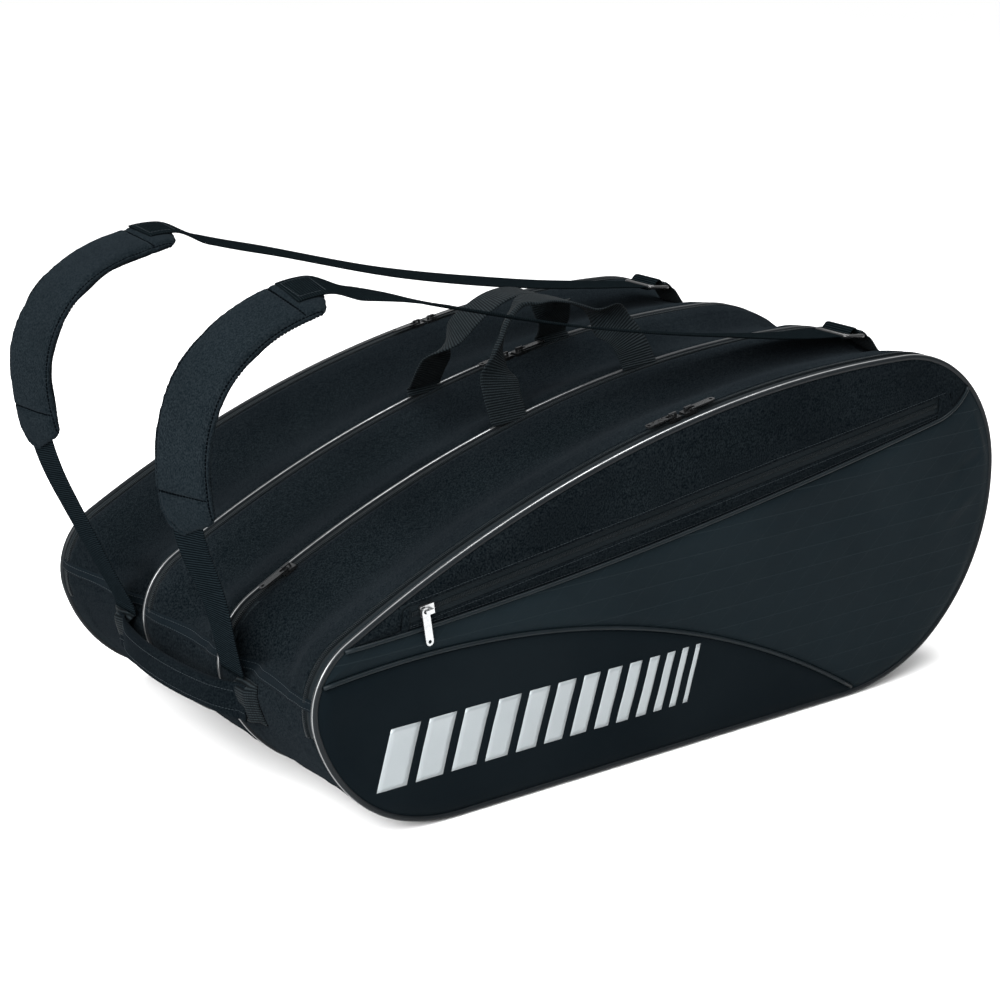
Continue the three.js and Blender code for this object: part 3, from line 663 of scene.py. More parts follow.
def seam_piping(name, y, radius, nodes, look):
    ts = headings(6.0)
    centre = [on_rim(t, y, seam_line(t)) for t in ts]

    def frames(i):
        _, _, nx, nz = rim(ts[i])
        return Y, Vector((nx, 0, nz))

    # Outside the highlight headings the piping wears its dimmer copy: painted shade.
    return tube(
        name, centre, frames, radius, 14, f"{look} low_piping", replaces=nodes, slot="silver_piping",
        index=lambda i, j: 0 if HIGHLIGHT_FROM < ts[i] < HIGHLIGHT_TO else 1,
    )


def folds_with(obj):
    """Bakes the piece's transform into its mesh."""
    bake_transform(obj)


for side, seam, look in (("front", FRONT, "piping"), ("back", BACK, "back_piping")):
    nodes = (f"{side}_lid_piping", f"{side}_base_piping")
    folds_with(seam_piping(f"{side}_piping", seam, PIPING, nodes, look))
for side, seam in (("front", FRONT_SEAM), ("rear", REAR_SEAM)):
    nodes = (f"{side}_divider_piping",)
    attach(seam_piping(f"{side}_divider_cord", seam, PIPING - 0.3, nodes, "inner_piping"), "bag")

# ---------- zips ----------


def strip(name, ts, section, look, body="bag", replaces=()):
    """A closed band with a section of (y, n) points, swept along the outline at headings ts."""
    section = [*section, section[0]]
    across = lengths([(y, n, 0) for y, n in section])
    points = [[on_rim(t, y, n) for y, n in section] for t in ts]
    uv = [[(along, r) for r in across] for along in lengths([ring[0] for ring in points])]
    link(name, grid_mesh(name, points, uv, capped=True), look, body, replaces, "zip_tape")


def tape_section(near, far, low=-0.4, high=0.7):
    return [(near, high), (far, high), (far, low), (near, low)]


def coil_section(middle):
    """The low ridge under the teeth."""
    ridge = ((-1.9, 0.3), (-1.9, 1.3), (-0.95, 1.9), (0.95, 1.9), (1.9, 1.3), (1.9, 0.3))
    return [(middle + y, n) for y, n in ridge]


def make_zips():
    ts = headings(4.0, FOLD_RIGHT, FOLD_LEFT)
    for lid, seam, side, coil in (("front", FRONT, 1, FRONT_COIL), ("back", BACK, -1, BACK_COIL)):
        on_lid = tape_section(seam + side * CLEAR, coil - side * 2.5)
        on_wall = tape_section(coil - side * 2.1, coil + side * 8, -0.5, 0.6)
        strip(f"{lid}_lid_tape", ts, on_lid, "tape", f"{lid}_lid", (f"{lid}_lid_zip_tape",))
        strip(f"{lid}_lid_coil", ts, coil_section(coil), "coil")
        strip(f"{lid}_wall_tape", ts, on_wall, "tape", replaces=(f"{lid}_wall_zip_tape",))
    ts = headings(4.0, *INNER_ZIP)
    for label, seam in (("front", FRONT_SEAM), ("rear", REAR_SEAM)):
        coil = INNER_COILS[f"{label}_divider"]
        tape = tape_section(coil - 7, seam - CLEAR)
        strip(f"{label}_inner_tape", ts, tape, "tape", replaces=(f"{label}_divider_zip",))
        strip(f"{label}_inner_coil", ts, coil_section(coil), "coil")


make_zips()

# ---------- rows of threads and teeth ----------

STITCH_PITCH, STITCH = 3.4, 2.652  # from stitch to stitch, and a thread's length
TOOTH_PITCH, TOOTH, TOOTH_RADIUS, TOOTH_HEIGHT = 1.6, 4.0, 0.72, 2.2
ROD_SIDES = 6
ROD = ((-0.5, 0.35), (-0.34, 1.0), (0.34, 1.0), (0.5, 0.35))  # share of its length, share of its radius


def dashes(name, centres, ways, length, radius, look, body, slot):
    """Many short rounded rods in one mesh: each has a centre and a direction."""
    verts, faces = [], []
    for c, way in zip(centres, ways):
        way = Vector(way).normalized()
        a = way.orthogonal().normalized()
        b = way.cross(a)
        base = len(verts)
        for share, wide in ROD:
            for k in range(ROD_SIDES):
                turn = 2 * math.pi * k / ROD_SIDES
                off = radius * wide * (math.cos(turn) * a + math.sin(turn) * b)
                verts.append((Vector(c) + way * length * share + off) * MM)
        last = len(verts) - ROD_SIDES
        for ring in range(base, last, ROD_SIDES):
            for k in range(ROD_SIDES):
                n, m = ring + k, ring + (k + 1) % ROD_SIDES
                faces.append((n, m, m + ROD_SIDES, n + ROD_SIDES))
        faces.append(tuple(reversed(range(base, base + ROD_SIDES))))
        faces.append(tuple(range(last, last + ROD_SIDES)))
    mesh = bpy.data.meshes.new(name)
    mesh.from_pydata(verts, [], faces)
    mesh.shade_smooth()
    link(name, mesh, look, body, slot=slot)


def spaced(points, pitch):
    """Points pitch apart along a polyline, and the directions there."""
    pts = [Vector(p) for p in points]
    run = lengths(pts)
    places, ways, i, at = [], [], 0, pitch / 2
    while at < run[-1]:
        while run[i + 1] < at:
            i += 1
        way = pts[i + 1] - pts[i]
        places.append(pts[i] + way * ((at - run[i]) / (run[i + 1] - run[i])))
        ways.append(way.normalized())
        at += pitch
    return places, ways


def stitch_row(name, points, body, slot, radius=0.32, look="thread"):
    dashes(name, *spaced(points, STITCH_PITCH), STITCH, radius, look, body, slot)


def teeth_row(name, points, across, body):
    """Zip teeth along points: a rod across the tape every pitch."""
    places, _ = spaced(points, TOOTH_PITCH)
    dashes(name, places, [across] * len(places), TOOTH, TOOTH_RADIUS, "coil", body, "zip_tape")


for ts, coils in (
    (headings(3.0, FOLD_RIGHT, FOLD_LEFT), {"front_lid": FRONT_COIL, "back_lid": BACK_COIL}),
    (headings(3.0, *INNER_ZIP), INNER_COILS),
):
    for label, coil in coils.items():
        teeth_row(f"{label}_teeth", [on_rim(t, coil, TOOTH_HEIGHT) for t in ts], Y, "bag")

# ---------- front and back faces ----------


def bezier(points, steps=48):
    a, b, c = (np.array(p, float) for p in points)
    s = np.linspace(0, 1, steps + 1)[:, None]
    return (1 - s) ** 2 * a + 2 * s * (1 - s) * b + s * s * c


FACE_INSET = 1.5
ARC_END = 231.0
ARC_SEAM = bezier(((-386, 144), (-50, 188), (ARC_END, -6)))
TEETH_FROM, TEETH_TO = (-290.0, 189.0), (318.0, 271.0)
TEETH_SLOPE = math.atan2(TEETH_TO[1] - TEETH_FROM[1], TEETH_TO[0] - TEETH_FROM[0])


def pocket_line():
    """The pocket's lower seam, which turns up in a rounded corner at the right end."""
    run = bezier(((-364, 171), (-60, 180.5), (380, 268)))
    run = run[run[:, 0] < 312]
    return np.vstack((run, bezier((run[-1], (344, 262.5), (352, 296)), 12)[1:]))


POCKET_RIGHT = 352.0
POCKET_SEAM = pocket_line()
RIM = np.array([on_rim(t, 0, seam_line(t) - FACE_INSET)[::2] for t in headings(3.0)])


def rim_heights(x):
    """Lowest and highest z of the face's outline at x."""
    a, b = RIM[:-1], RIM[1:]
    crossed = (a[:, 0] - x) * (b[:, 0] - x) <= 0
    a, b = a[crossed], b[crossed]
    if not len(a):
        return None
    run = np.where(np.abs(b[:, 0] - a[:, 0]) < 1e-9, 1, b[:, 0] - a[:, 0])
    z = a[:, 1] + (x - a[:, 0]) / run * (b[:, 1] - a[:, 1])
    return float(z.min()), float(z.max())


def rim_low(x):
    return (rim_heights(x) or (FOLD_Z, FOLD_Z))[0]


def rim_high(x):
    return (rim_heights(x) or (FOLD_Z, FOLD_Z))[1]


def gap_to(lines, x, z):
    """Distance from (x, z) to the nearest of the polylines."""
    best, p = 1e9, np.array((x, z))
    for line in lines:
        a, d = line[:-1], line[1:] - line[:-1]
        s = np.clip(((p - a) * d).sum(1) / np.maximum((d * d).sum(1), 1e-9), 0, 1)
        best = min(best, float(np.sqrt((((p - a) - s[:, None] * d) ** 2).sum(1)).min()))
    return best


def seam_height(line, x):
    return float(np.interp(x, line[:, 0], line[:, 1]))


def teeth_height(x, up=0.0):
    """Height at x of the teeth's middle line, or of the line that runs up above it."""
    return TEETH_FROM[1] + (x - TEETH_FROM[0]) * math.tan(TEETH_SLOPE) + up / math.cos(TEETH_SLOPE)


def face_columns(x0, x1, spacing=5.0):
    """Values from x0 to x1, closer together towards both ends."""
    count = max(8, int((x1 - x0) / spacing))
    return [(x0 + x1) / 2 - (x1 - x0) / 2 * math.cos(math.pi * i / count) for i in range(count + 1)]


def face_panel(name, columns, height, looks, side=-1, thickness=1.2, **kw):
    """A panel of a face, from columns of (x, z); height(x, z) is how proud it stands."""
    points = [[(x, side * (FACE + height(x, z)), z) for x, z in column] for column in columns]
    return panel(name, points, columns, lambda c: Y * side, looks, thickness, **kw)


def face_piece(name, lower, upper, x0, x1, rows, *args, **kw):
    """A panel of a face between two heights that depend on x."""
    columns = []
    for x in face_columns(x0, x1):
        lo, hi = lower(x), upper(x)
        if hi < lo:
            lo = hi = (lo + hi) / 2
        columns.append([(x, lo + (hi - lo) * j / rows) for j in range(rows + 1)])
    return face_panel(name, columns, *args, **kw)


def ridge(x, z, a, b, width, depth):
    """A crease from a to b that fades at both ends."""
    p, a, b = np.array((x, z)), np.array(a, float), np.array(b, float)
    s = float(np.clip((p - a) @ (b - a) / ((b - a) @ (b - a)), 0, 1))
    off = float(np.hypot(*(p - a - s * (b - a))))
    return depth * math.sin(math.pi * min(1, max(0, s * 0.9 + 0.05))) * math.exp(-((off / width) ** 2))


CREASES = (  # from, to, width, depth
    ((352, 258), (376, 204), 3.0, 1.6),
    ((362, 268), (378, 232), 2.2, -1.8),
    ((330, 196), (374, 214), 3.0, -1.4),
    ((318, 150), (366, 176), 5.0, 1.2),
    ((186, 226), (232, 205), 6.0, 1.3),
    ((60, 196), (128, 176), 9.0, 1.4),
    ((-268, 165), (-246, 150), 5.0, 1.2),
    ((-222, 168), (-206, 152), 5.0, -1.1),
    ((-150, 178), (-120, 160), 6.0, 1.2),
)


def soft_face(lines, amount=2.6, reach=13.0, dents=1.2, phase=0.0):
    """Cloth that dips into its seams and swells between them, with shallow dents."""

    def height(x, z):
        edge = math.sqrt(smooth(gap_to(lines, x, z), 0, reach))
        dent = noise.noise(Vector((x * 0.011, phase, z * 0.018)))
        dent += 0.4 * noise.noise(Vector((x * 0.03, phase + 4, z * 0.05)))
        return -1.3 + edge * (amount + dents * dent + sum(ridge(x, z, *c) for c in CREASES))

    return height


def pocket_z(x):
    return min(seam_height(POCKET_SEAM, x), rim_high(x)) if x < POCKET_RIGHT else rim_high(x)


def arc_z(x):
    return max(min(seam_height(ARC_SEAM, x), rim_high(x)), rim_low(x)) if x < ARC_END else rim_low(x)


def below_rim(xs):
    """The first of xs at which the pocket's seam lies below the outline."""
    return next(x for x in xs if seam_height(POCKET_SEAM, x) < rim_high(x))


LEFT_TIP, RIGHT_TIP = float(RIM[:, 0].min()) + 0.05, float(RIM[:, 0].max()) - 0.05
POCKET_END = below_rim(np.arange(-380, -300, 0.5))
POCKET_TOP = below_rim(np.arange(POCKET_RIGHT, 320, -0.25))
ZIP_LEFT, ZIP_RIGHT = -297.0, 324.0
FLAP = 7.6  # the flap's edge above the teeth
LIP = 7.5  # the lower cloth's edge below them
SEWN = 0.15  # a thread's middle above its cloth


def flap_z(x):
    """Lower edge of the top cloth: the flap over the zip, and the pocket's seam beyond its ends."""
    over = smooth(x, ZIP_LEFT - 2, ZIP_LEFT + 2) * (1 - smooth(x, ZIP_RIGHT - 2, ZIP_RIGHT + 2))
    return pocket_z(x) * (1 - over) + teeth_height(x, FLAP) * over


def strip_top(x):
    return max(pocket_z(x), teeth_height(x, -LIP))


def make_front():
    coated = face_piece(
        "front_coated_cloth", arc_z, pocket_z, LEFT_TIP, RIGHT_TIP, 40,
        soft_face((RIM, POCKET_SEAM, ARC_SEAM)), "coated",
        replaces=("front_coated_panel", "front_coated_panel_foot"), slot="coated_cloth",
    )
    arc = face_piece(
        "front_arc_cloth", rim_low, arc_z, LEFT_TIP, ARC_END, 32, ARC_CLOTH, "arc",
        replaces=("front_arc_panel", "front_arc_panel_foot"), slot="coated_cloth",
    )
    folds_with(coated)
    folds_with(arc)

    on_lid = {"body": "front_lid", "slot": "body_cloth"}
    cloth = soft_face((RIM, POCKET_SEAM), amount=3.4, dents=1.6, phase=20.0)
    lower = soft_face((POCKET_SEAM,), amount=2.0, dents=0.6, phase=31.0)
    face_piece(
        "front_top_cloth_shell", flap_z, rim_high, POCKET_END, POCKET_TOP, 30, cloth, "cloth",
        thickness=1.8, replaces=("front_top_cloth",), **on_lid,
    )
    face_piece("pocket_strip", pocket_z, strip_top, ZIP_LEFT - 6, ZIP_RIGHT + 5, 8, lower, "cloth", **on_lid)
    face_piece(
        "pocket_tape", lambda x: teeth_height(x) - 8.5, lambda x: teeth_height(x) + 10,
        ZIP_LEFT - 1, ZIP_RIGHT, 8, lambda x, z: -0.1, "tape",
        body="front_lid", replaces=("pocket_zip",), slot="zip_tape",
    )
    for label, x0, x1 in (("left", ZIP_LEFT - 9, ZIP_LEFT + 6), ("right", ZIP_RIGHT - 17, ZIP_RIGHT + 20)):
        face_piece(
            f"pocket_{label}_fold", lambda x: pocket_z(x) + 0.6,
            lambda x: min(flap_z(x) + 3, rim_high(x) - 6),
            x0, x1, 14, lambda x, z: cloth(x, z) * 0.4 + 1.3, "cloth", **on_lid,
        )
    teeth = [(x, -FACE - 0.7, teeth_height(x)) for x in np.linspace(ZIP_LEFT + 9, ZIP_RIGHT - 19, 82)]
    teeth_row("pocket_teeth", teeth, (-math.sin(TEETH_SLOPE), 0, math.cos(TEETH_SLOPE)), "front_lid")
    for name, z_of, under, x0, x1 in (
        ("pocket_stitches_low", lambda x: pocket_z(x) + 3.2, lower, ZIP_LEFT, ZIP_RIGHT - 12),
        ("pocket_stitches_high", lambda x: strip_top(x) - 2.4, lower, ZIP_LEFT, ZIP_RIGHT - 12),
        ("flap_stitches", lambda x: flap_z(x) + 2.4, cloth, ZIP_LEFT + 5, ZIP_RIGHT - 10),
    ):
        line = [(x, z_of(x)) for x in np.linspace(x0, x1, 160)]
        stitch_row(name, [(x, -FACE - under(x, z) - SEWN, z) for x, z in line], **on_lid)


def face_cord(name, line, nodes):
    """A cord along the part of line that lies inside the face's outline."""
    centre = [Vector((x, -FACE - 0.6, z)) for x, z in line if rim_low(x) - 1 < z < rim_high(x) + 1]
    ways = directions(centre)
    return tube(
        name, centre, lambda i: (-Y, ways[i].cross(-Y)), 1.9, 12, "face_piping", closed=False,
        replaces=nodes, slot="face_piping",
    )


HATCH_LEFT, HATCH_LOW, HATCH_HIGH, HATCH_SLANT = -326.0, 44.0, 96.0, 0.3
HATCH_WIDTHS = [29.0 - 2.0 * k for k in range(13)]  # plain slanted bars that thin out to the right
HATCH_GAP = 9.0


def make_hatch():
    """A plain printed pattern of slanted bars in silver."""
    left, high = HATCH_LEFT, HATCH_HIGH - HATCH_LOW
    rises = [high * j / 12 for j in range(13)]
    for k, wide in enumerate(HATCH_WIDTHS):
        feet = [left + wide * i / 5 for i in range(6)]
        columns = [[(x + up * HATCH_SLANT, HATCH_LOW + up) for up in rises] for x in feet]
        bar = face_panel(
            f"print_bar_{k + 1}", columns, lambda x, z: ARC_CLOTH(x, z) + 0.25, "print", thickness=0.3,
            slot="silver_piping",
        )
        folds_with(bar)
        left += wide + HATCH_GAP


def make_back():
    cloth = soft_face((RIM,), amount=2.8, reach=16, dents=1.6, phase=50.0)
    cover = face_piece(
        "back_cloth", rim_low, rim_high, LEFT_TIP, RIGHT_TIP, 50, cloth, "cloth", side=1,
        replaces=("back_lid_panel", "back_base_panel"), slot="body_cloth",
    )
    folds_with(cover)


ARC_CLOTH = soft_face((RIM, ARC_SEAM), phase=9.0)
make_front()
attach(face_cord("pocket_cord", POCKET_SEAM, ("pocket_piping",)), "front_lid")
folds_with(face_cord("arc_cord", ARC_SEAM, ("arc_piping", "arc_piping_foot")))
make_hatch()
make_back()

# ---------- webbing ----------


def catmull_rom(points, per=24):
    """The centripetal curve through points, as a dense polyline."""
    pts = [np.array(p, float) for p in points]
    pts = [2 * pts[0] - pts[1], *pts, 2 * pts[-1] - pts[-2]]
    out = []
    for p0, p1, p2, p3 in zip(pts, pts[1:], pts[2:], pts[3:]):
        d0, d1, d2 = (np.linalg.norm(b - a) ** 0.5 for a, b in ((p0, p1), (p1, p2), (p2, p3)))
        m1 = ((p1 - p0) / d0 - (p2 - p0) / (d0 + d1) + (p2 - p1) / d1) * d1
        m2 = ((p2 - p1) / d1 - (p3 - p1) / (d1 + d2) + (p3 - p2) / d2) * d1
        for s in np.arange(per) / per:
            h = s * s * (3 - 2 * s)
            out.append(p1 * (1 - h) + p2 * h + m1 * (s * (1 - s) ** 2) - m2 * (s * s * (1 - s)))
    out.append(pts[-2])
    return np.array(out)


class Route:
    """A curve with points at shares of its length."""

    def __init__(self, points):
        self.dense = catmull_rom(points)
        step = np.linalg.norm(np.diff(self.dense, axis=0), axis=1)
        self.run = np.concatenate(([0], np.cumsum(step)))
        self.length = float(self.run[-1])

    def at(self, share):
        where = np.clip(share, 0, 1) * self.length
        return Vector([float(np.interp(where, self.run, self.dense[:, k])) for k in range(3)])

    def tangent(self, share, reach=0.004):
        return (self.at(share + reach) - self.at(share - reach)).normalized()


# Half of the band's section: share of its width, share of its thickness.
BAND_TOP = (
    (-0.5, 0.0), (-0.485, 0.36), (-0.44, 0.5), (-0.3, 0.5), (-0.1, 0.5),
    (0.1, 0.5), (0.3, 0.5), (0.44, 0.5), (0.485, 0.36), (0.5, 0.0),
)
BAND = [*BAND_TOP, *((a, -b) for a, b in BAND_TOP[-2:0:-1]), BAND_TOP[0]]


def band(name, path, across, looks, body=None, width=WEBBING_WIDTH, sizes=None, **kw):
    """A woven band; across and sizes hold the direction across it and its size at each point of path."""
    points = []
    sizes = sizes or [(width, WEBBING)] * len(path)
    for p, way, side, (wide, thick) in zip(path, directions(path), across, sizes):
        side = Vector(side)
        side = (side - way * side.dot(way)).normalized()
        normal = way.cross(side)
        points.append([p + side * a * wide + normal * b * thick for a, b in BAND])
    uv = [[(along, (a + 0.5) * width) for a, _ in BAND] for along in lengths(path)]
    return link(name, grid_mesh(name, points, uv, capped=True), looks, body, **kw)


HANDLE_FEET_X = (-80.0, 68.0)
HANDLE_LIFT, HANDLE_HEIGHT = PIPING + 3.2, 90.0
HANDLES = {"front": (FRONT_SEAM, 30.0), "rear": (REAR_SEAM, -32.0)}  # its seam, and degrees that it leans
HANDLE_OUTLINE = (
    (-1, 0), (-1.0, 0.24), (-0.95, 0.48), (-0.83, 0.7), (-0.64, 0.89), (-0.4, 1.0), (-0.17, 1.0),
    (0.1, 0.92), (0.4, 0.77), (0.67, 0.59), (0.87, 0.37), (0.97, 0.17), (1, 0),
)
HANDLE_STEPS = 96


def grab_handle(name, seam, lean):
    foot0, foot1 = (Vector((x, seam, rim(top_heading(x))[1] + HANDLE_LIFT)) for x in HANDLE_FEET_X)
    along = (foot1 - foot0).normalized()
    middle = (foot0 + foot1) / 2
    half = (foot1 - foot0).length / 2
    up = Matrix.Rotation(math.radians(-lean), 3, along) @ Vector((0, 0, 1))
    route = Route([middle + along * u * half + up * v * HANDLE_HEIGHT for u, v in HANDLE_OUTLINE])
    path, across, sizes = [], [], []
    for share in (i / HANDLE_STEPS for i in range(HANDLE_STEPS + 1)):
        turn = smooth(min(share, 1 - share), 0.12, 0.28) * math.pi / 2
        # The front handle's left leg is folded lengthwise on its way up.
        folded = smooth(share, 0.14, 0.22) * (1 - smooth(share, 0.42, 0.5)) if name == "front" else 0.0
        path.append(route.at(share))
        flat = Vector((0.62 * folded, 1 - 0.25 * folded, 0)).normalized()
        across.append(along * (math.cos(turn) * (1 if share < 0.5 else -1)) + flat * math.sin(turn))
        sizes.append((WEBBING_WIDTH * (1 - 0.45 * folded), WEBBING * (1 + 1.3 * folded)))
    # The feet run on below the cloth.
    down = [Vector((0, -1.5, -1.9)) * k for k in (1, 2, 3)]
    path = [path[0] + d for d in reversed(down)] + path + [path[-1] + d for d in down]
    across, sizes = ([row[0]] * 3 + row + [row[-1]] * 3 for row in (across, sizes))
    obj = band(
        f"{name}_carry_handle", path, across, "webbing", sizes=sizes,
        replaces=(f"{name}_grab_handle",), slot="webbing",
    )
    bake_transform(obj)


for name, (seam, lean) in HANDLES.items():
    grab_handle(name, seam, lean)

# ---------- backpack straps ----------

STRAPS = {
    "front": (
        (-383, -98, 130), (-396, -100, 188), (-411, -102, 243), (-419, -103, 291), (-418, -105, 333),
        (-404, -106, 371), (-377, -107, 399), (-346, -108, 417), (-306, -110, 429), (-244, -112, 425),
        (-160, -114, 403), (-43, -117, 373), (80, -120, 349), (200, -122, 331), (262, -122, 325),
    ),
    "rear": (
        (-383, 93, 130), (-405, 96, 179), (-423, 99, 224), (-437, 101, 263), (-447, 105, 310),
        (-450, 107, 348), (-444, 108, 376), (-430, 110, 400), (-410, 112, 419), (-383, 114, 433),
        (-350, 116, 442), (-312, 118, 446), (-224, 123, 426), (-68, 131, 383), (100, 139, 350),
        (240, 144, 331),
    ),
}
PAD_SPAN = {"front": (0.13, 0.405), "rear": (0.165, 0.435)}
PAD_WIDTH, PAD = 72.0, 13.0
PAD_START_WIDTH, PAD_START = 69.0, 8.5  # before the padding fills it
PAD_CUTS = (34.0, 16.0)  # corner radii at each end: the back edge, and the one on the pocket side
CROSS_SEAM, EDGE_SEAM = 35.0, 7.0  # from each end, and from each side
SEAM_WIDTH = 1.8
PAD_STEPS, SEAM_STEPS = 150, 400
ROLLS = {  # share of the strap's length, degrees that its outer face is rolled towards the pocket side
    "front": ((0, 0), (0.03, 0), (0.1, 13), (0.4, 13), (0.44, 8), (0.52, -6), (0.85, -7), (0.97, 0), (1, 0)),
    "rear": ((0, 0), (0.03, 0), (0.12, 5), (0.8, 6), (0.97, 0), (1, 0)),
}


def settle(obj):
    """Applies all modifiers to the mesh."""
    bpy.context.view_layer.update()
    depsgraph = bpy.context.evaluated_depsgraph_get()
    mesh = bpy.data.meshes.new_from_object(obj.evaluated_get(depsgraph))
    obj.modifiers.clear()
    obj.data = mesh


def coordinates(mesh):
    co = np.empty(len(mesh.vertices) * 3)
    mesh.vertices.foreach_get("co", co)
    return co.reshape(-1, 3)


def inflate(obj, pressure, cap, frames=20):
    """Fills a closed shape as padding does, moving no point further than cap."""
    before = coordinates(obj.data)
    cloth = modify(obj, "CLOTH")
    settings, cache, scene = cloth.settings, cloth.point_cache, bpy.context.scene
    settings.quality = 5
    settings.mass = 0.2
    settings.tension_stiffness = settings.compression_stiffness = 30
    settings.use_pressure = True
    settings.uniform_pressure_force = pressure
    settings.effector_weights.gravity = 0
    cloth.collision_settings.use_collision = False
    cache.frame_start, cache.frame_end = 1, frames
    for f in range(1, frames + 1):
        scene.frame_set(f)
    settle(obj)
    move = coordinates(obj.data) - before
    size = np.linalg.norm(move, axis=1, keepdims=True)
    move *= np.minimum(1, cap * MM / np.maximum(size, 1e-9))
    obj.data.vertices.foreach_set("co", (before + move).ravel())
    scene.frame_set(1)


class Strap:
    """One backpack strap's path, with the directions across it and out of its outer face."""

    def __init__(self, name):
        self.route = Route(STRAPS[name])
        self.length = self.route.length
        self.s0, self.s1 = PAD_SPAN[name]
        self.rolls = np.array(ROLLS[name], float)

    def frame(self, share):
        flat = self.route.tangent(share).cross(Y).normalized()
        roll = math.radians(float(np.interp(share, self.rolls[:, 0], self.rolls[:, 1])))
        return Y * math.cos(roll) + flat * math.sin(roll), flat * math.cos(roll) - Y * math.sin(roll)

    def webbing_at(self, share, lift=0.0):
        """The webbing is sewn to the pad a little towards its back edge."""
        across, out = self.frame(share)
        aside = 7.0 * smooth(share, self.s0 * 0.35, self.s0) * (1 - smooth(share, self.s1, self.s1 + 0.06))
        return self.route.at(share) + across * aside + out * lift


def pad_edges(half, from_end):
    """Distance of the pad's back and pocket-side edges from its path, at a distance from its nearer end."""
    corners = ((radius, min(radius, max(0.0, radius - from_end))) for radius in PAD_CUTS)
    return [half - radius + math.sqrt(radius**2 - corner**2) for radius, corner in corners]


def bell(x):
    """1 on a seam's middle, falling off beside it."""
    return math.exp(-((x / SEAM_WIDTH) ** 2))


def pad_piece(name):
    """The padded part of a backpack strap, with a sewn edge and a cross seam near each end."""
    strap = Strap(name)
    route, s0, span = strap.route, strap.s0, strap.s1 - strap.s0
    run = span * route.length
    path, across, sizes = [], [], []
    for i in range(PAD_STEPS - 1):
        share = s0 + span * (i + 1) / PAD_STEPS
        end = min(i + 1.3, PAD_STEPS - 0.7 - i) * run / PAD_STEPS
        back, pocket = pad_edges(PAD_START_WIDTH / 2, end)
        across.append(strap.frame(share)[0])
        path.append(route.at(share) + across[-1] * (back - pocket) / 2)
        sizes.append((back + pocket, PAD_START * (0.45 + 0.55 * smooth(end, 0, 12))))
    obj = band(f"{name}_shoulder_pad", path, across, "pad", width=PAD_WIDTH, sizes=sizes)
    modify(obj, "REMESH", mode="VOXEL", voxel_size=3.6 * MM)
    settle(obj)
    inflate(obj, 4.0, 3.4)
    modify(obj, "SMOOTH", iterations=8)
    modify(obj, "SUBSURF", levels=1, render_levels=1)
    settle(obj)

    steps = range(SEAM_STEPS + 1)
    shares = [s0 + span * i / SEAM_STEPS for i in steps]
    centre = np.array([route.at(s) for s in shares])
    across, normal = (np.array(rows) for rows in zip(*map(strap.frame, shares)))
    edges = [pad_edges(PAD_WIDTH / 2, min(i, SEAM_STEPS - i) / SEAM_STEPS * run) for i in steps]
    seams = (CROSS_SEAM, run - CROSS_SEAM)
    co = coordinates(obj.data) / MM
    for k, p in enumerate(co):
        i = int(((centre - p)[:, ::2] ** 2).sum(1).argmin())
        a, b = float((p - centre[i]) @ across[i]), float((p - centre[i]) @ normal[i])
        along = i / SEAM_STEPS * run
        edge = bell(min(edges[i][0] - a, edges[i][1] + a) - EDGE_SEAM)
        seam = max(bell(along - at) for at in seams)
        co[k] = p - normal[i] * b * 0.5 * max(edge, 0.8 * seam)
    obj.data.vertices.foreach_set("co", (co * MM).ravel())
    obj.data.shade_smooth()
    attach(obj, f"{name}_strap")
    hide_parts(f"{name}_strap_pad")

    tree = BVHTree.FromObject(obj, bpy.context.evaluated_depsgraph_get())

    def row(label, places, up):
        """Stitches on the outer face, or on the inner one if up is -1, through places (step, across)."""
        points = []
        for i, a in places:
            n = Vector(normal[i]) * up
            start = Vector(centre[i]) + Vector(across[i]) * a + n * 30
            hit = tree.ray_cast(start * MM, -n)[0]
            if hit:
                points.append(hit / MM + n * 0.1)
        # The stitches wear the very dark pad thread: painted shade of the groove they sit in.
        stitch_row(f"{name}_pad_{label}", points, f"{name}_strap", "pad_cloth", 0.8, "pad_thread")

    marks = range(10, SEAM_STEPS - 9, 4)
    for up, label in ((1, "outer"), (-1, "inner")):
        for side, way, which in ((0, 1, "a"), (1, -1, "b")):
            row(f"stitches_{label}_{which}", [(i, way * (edges[i][side] - EDGE_SEAM)) for i in marks], up)
        for k, at in enumerate(seams):
            row(f"cross_{label}_{k + 1}", [(round(at / run * SEAM_STEPS), a) for a in range(-28, 29, 4)], up)


BUCKLE_LENGTH, BUCKLE_WIDTH = 28.0, 46.0
BUCKLE_CORNER, BUCKLE_RIM, BUCKLE_BAR = 4.0, 2.3, 2.0  # radii
BUCKLE_GAP = 3.2
BUCKLE_TILT = {"front": -6.0, "rear": -7.0}
ON_PAD = 30.0  # length of the upper webbing that is sewn to the pad
PAD_FACE = PAD / 2 + 1.0  # height of that webbing above the strap's path
# The webbing's way through the buckle: under its near bar and over its middle one.
THROUGH = (
    (1.6, -2.6), (6.5, -0.6), (9.5, 3.6), (12.5, 6.6), (15.5, 6.8), (18.5, 4.2), (20.5, 0.2), (21.5, -3.4),
)


def in_buckle(name, x, z, y=0.0):
    """A point of the buckle: x from its near end, z above its middle plane, y to its side."""
    tilt = math.radians(BUCKLE_TILT[name])
    ahead = BUCKLE_GAP + x * math.cos(tilt) - z * math.sin(tilt)
    return Vector(STRAPS[name][-1]) + Vector((ahead, y, x * math.sin(tilt) + z * math.cos(tilt)))


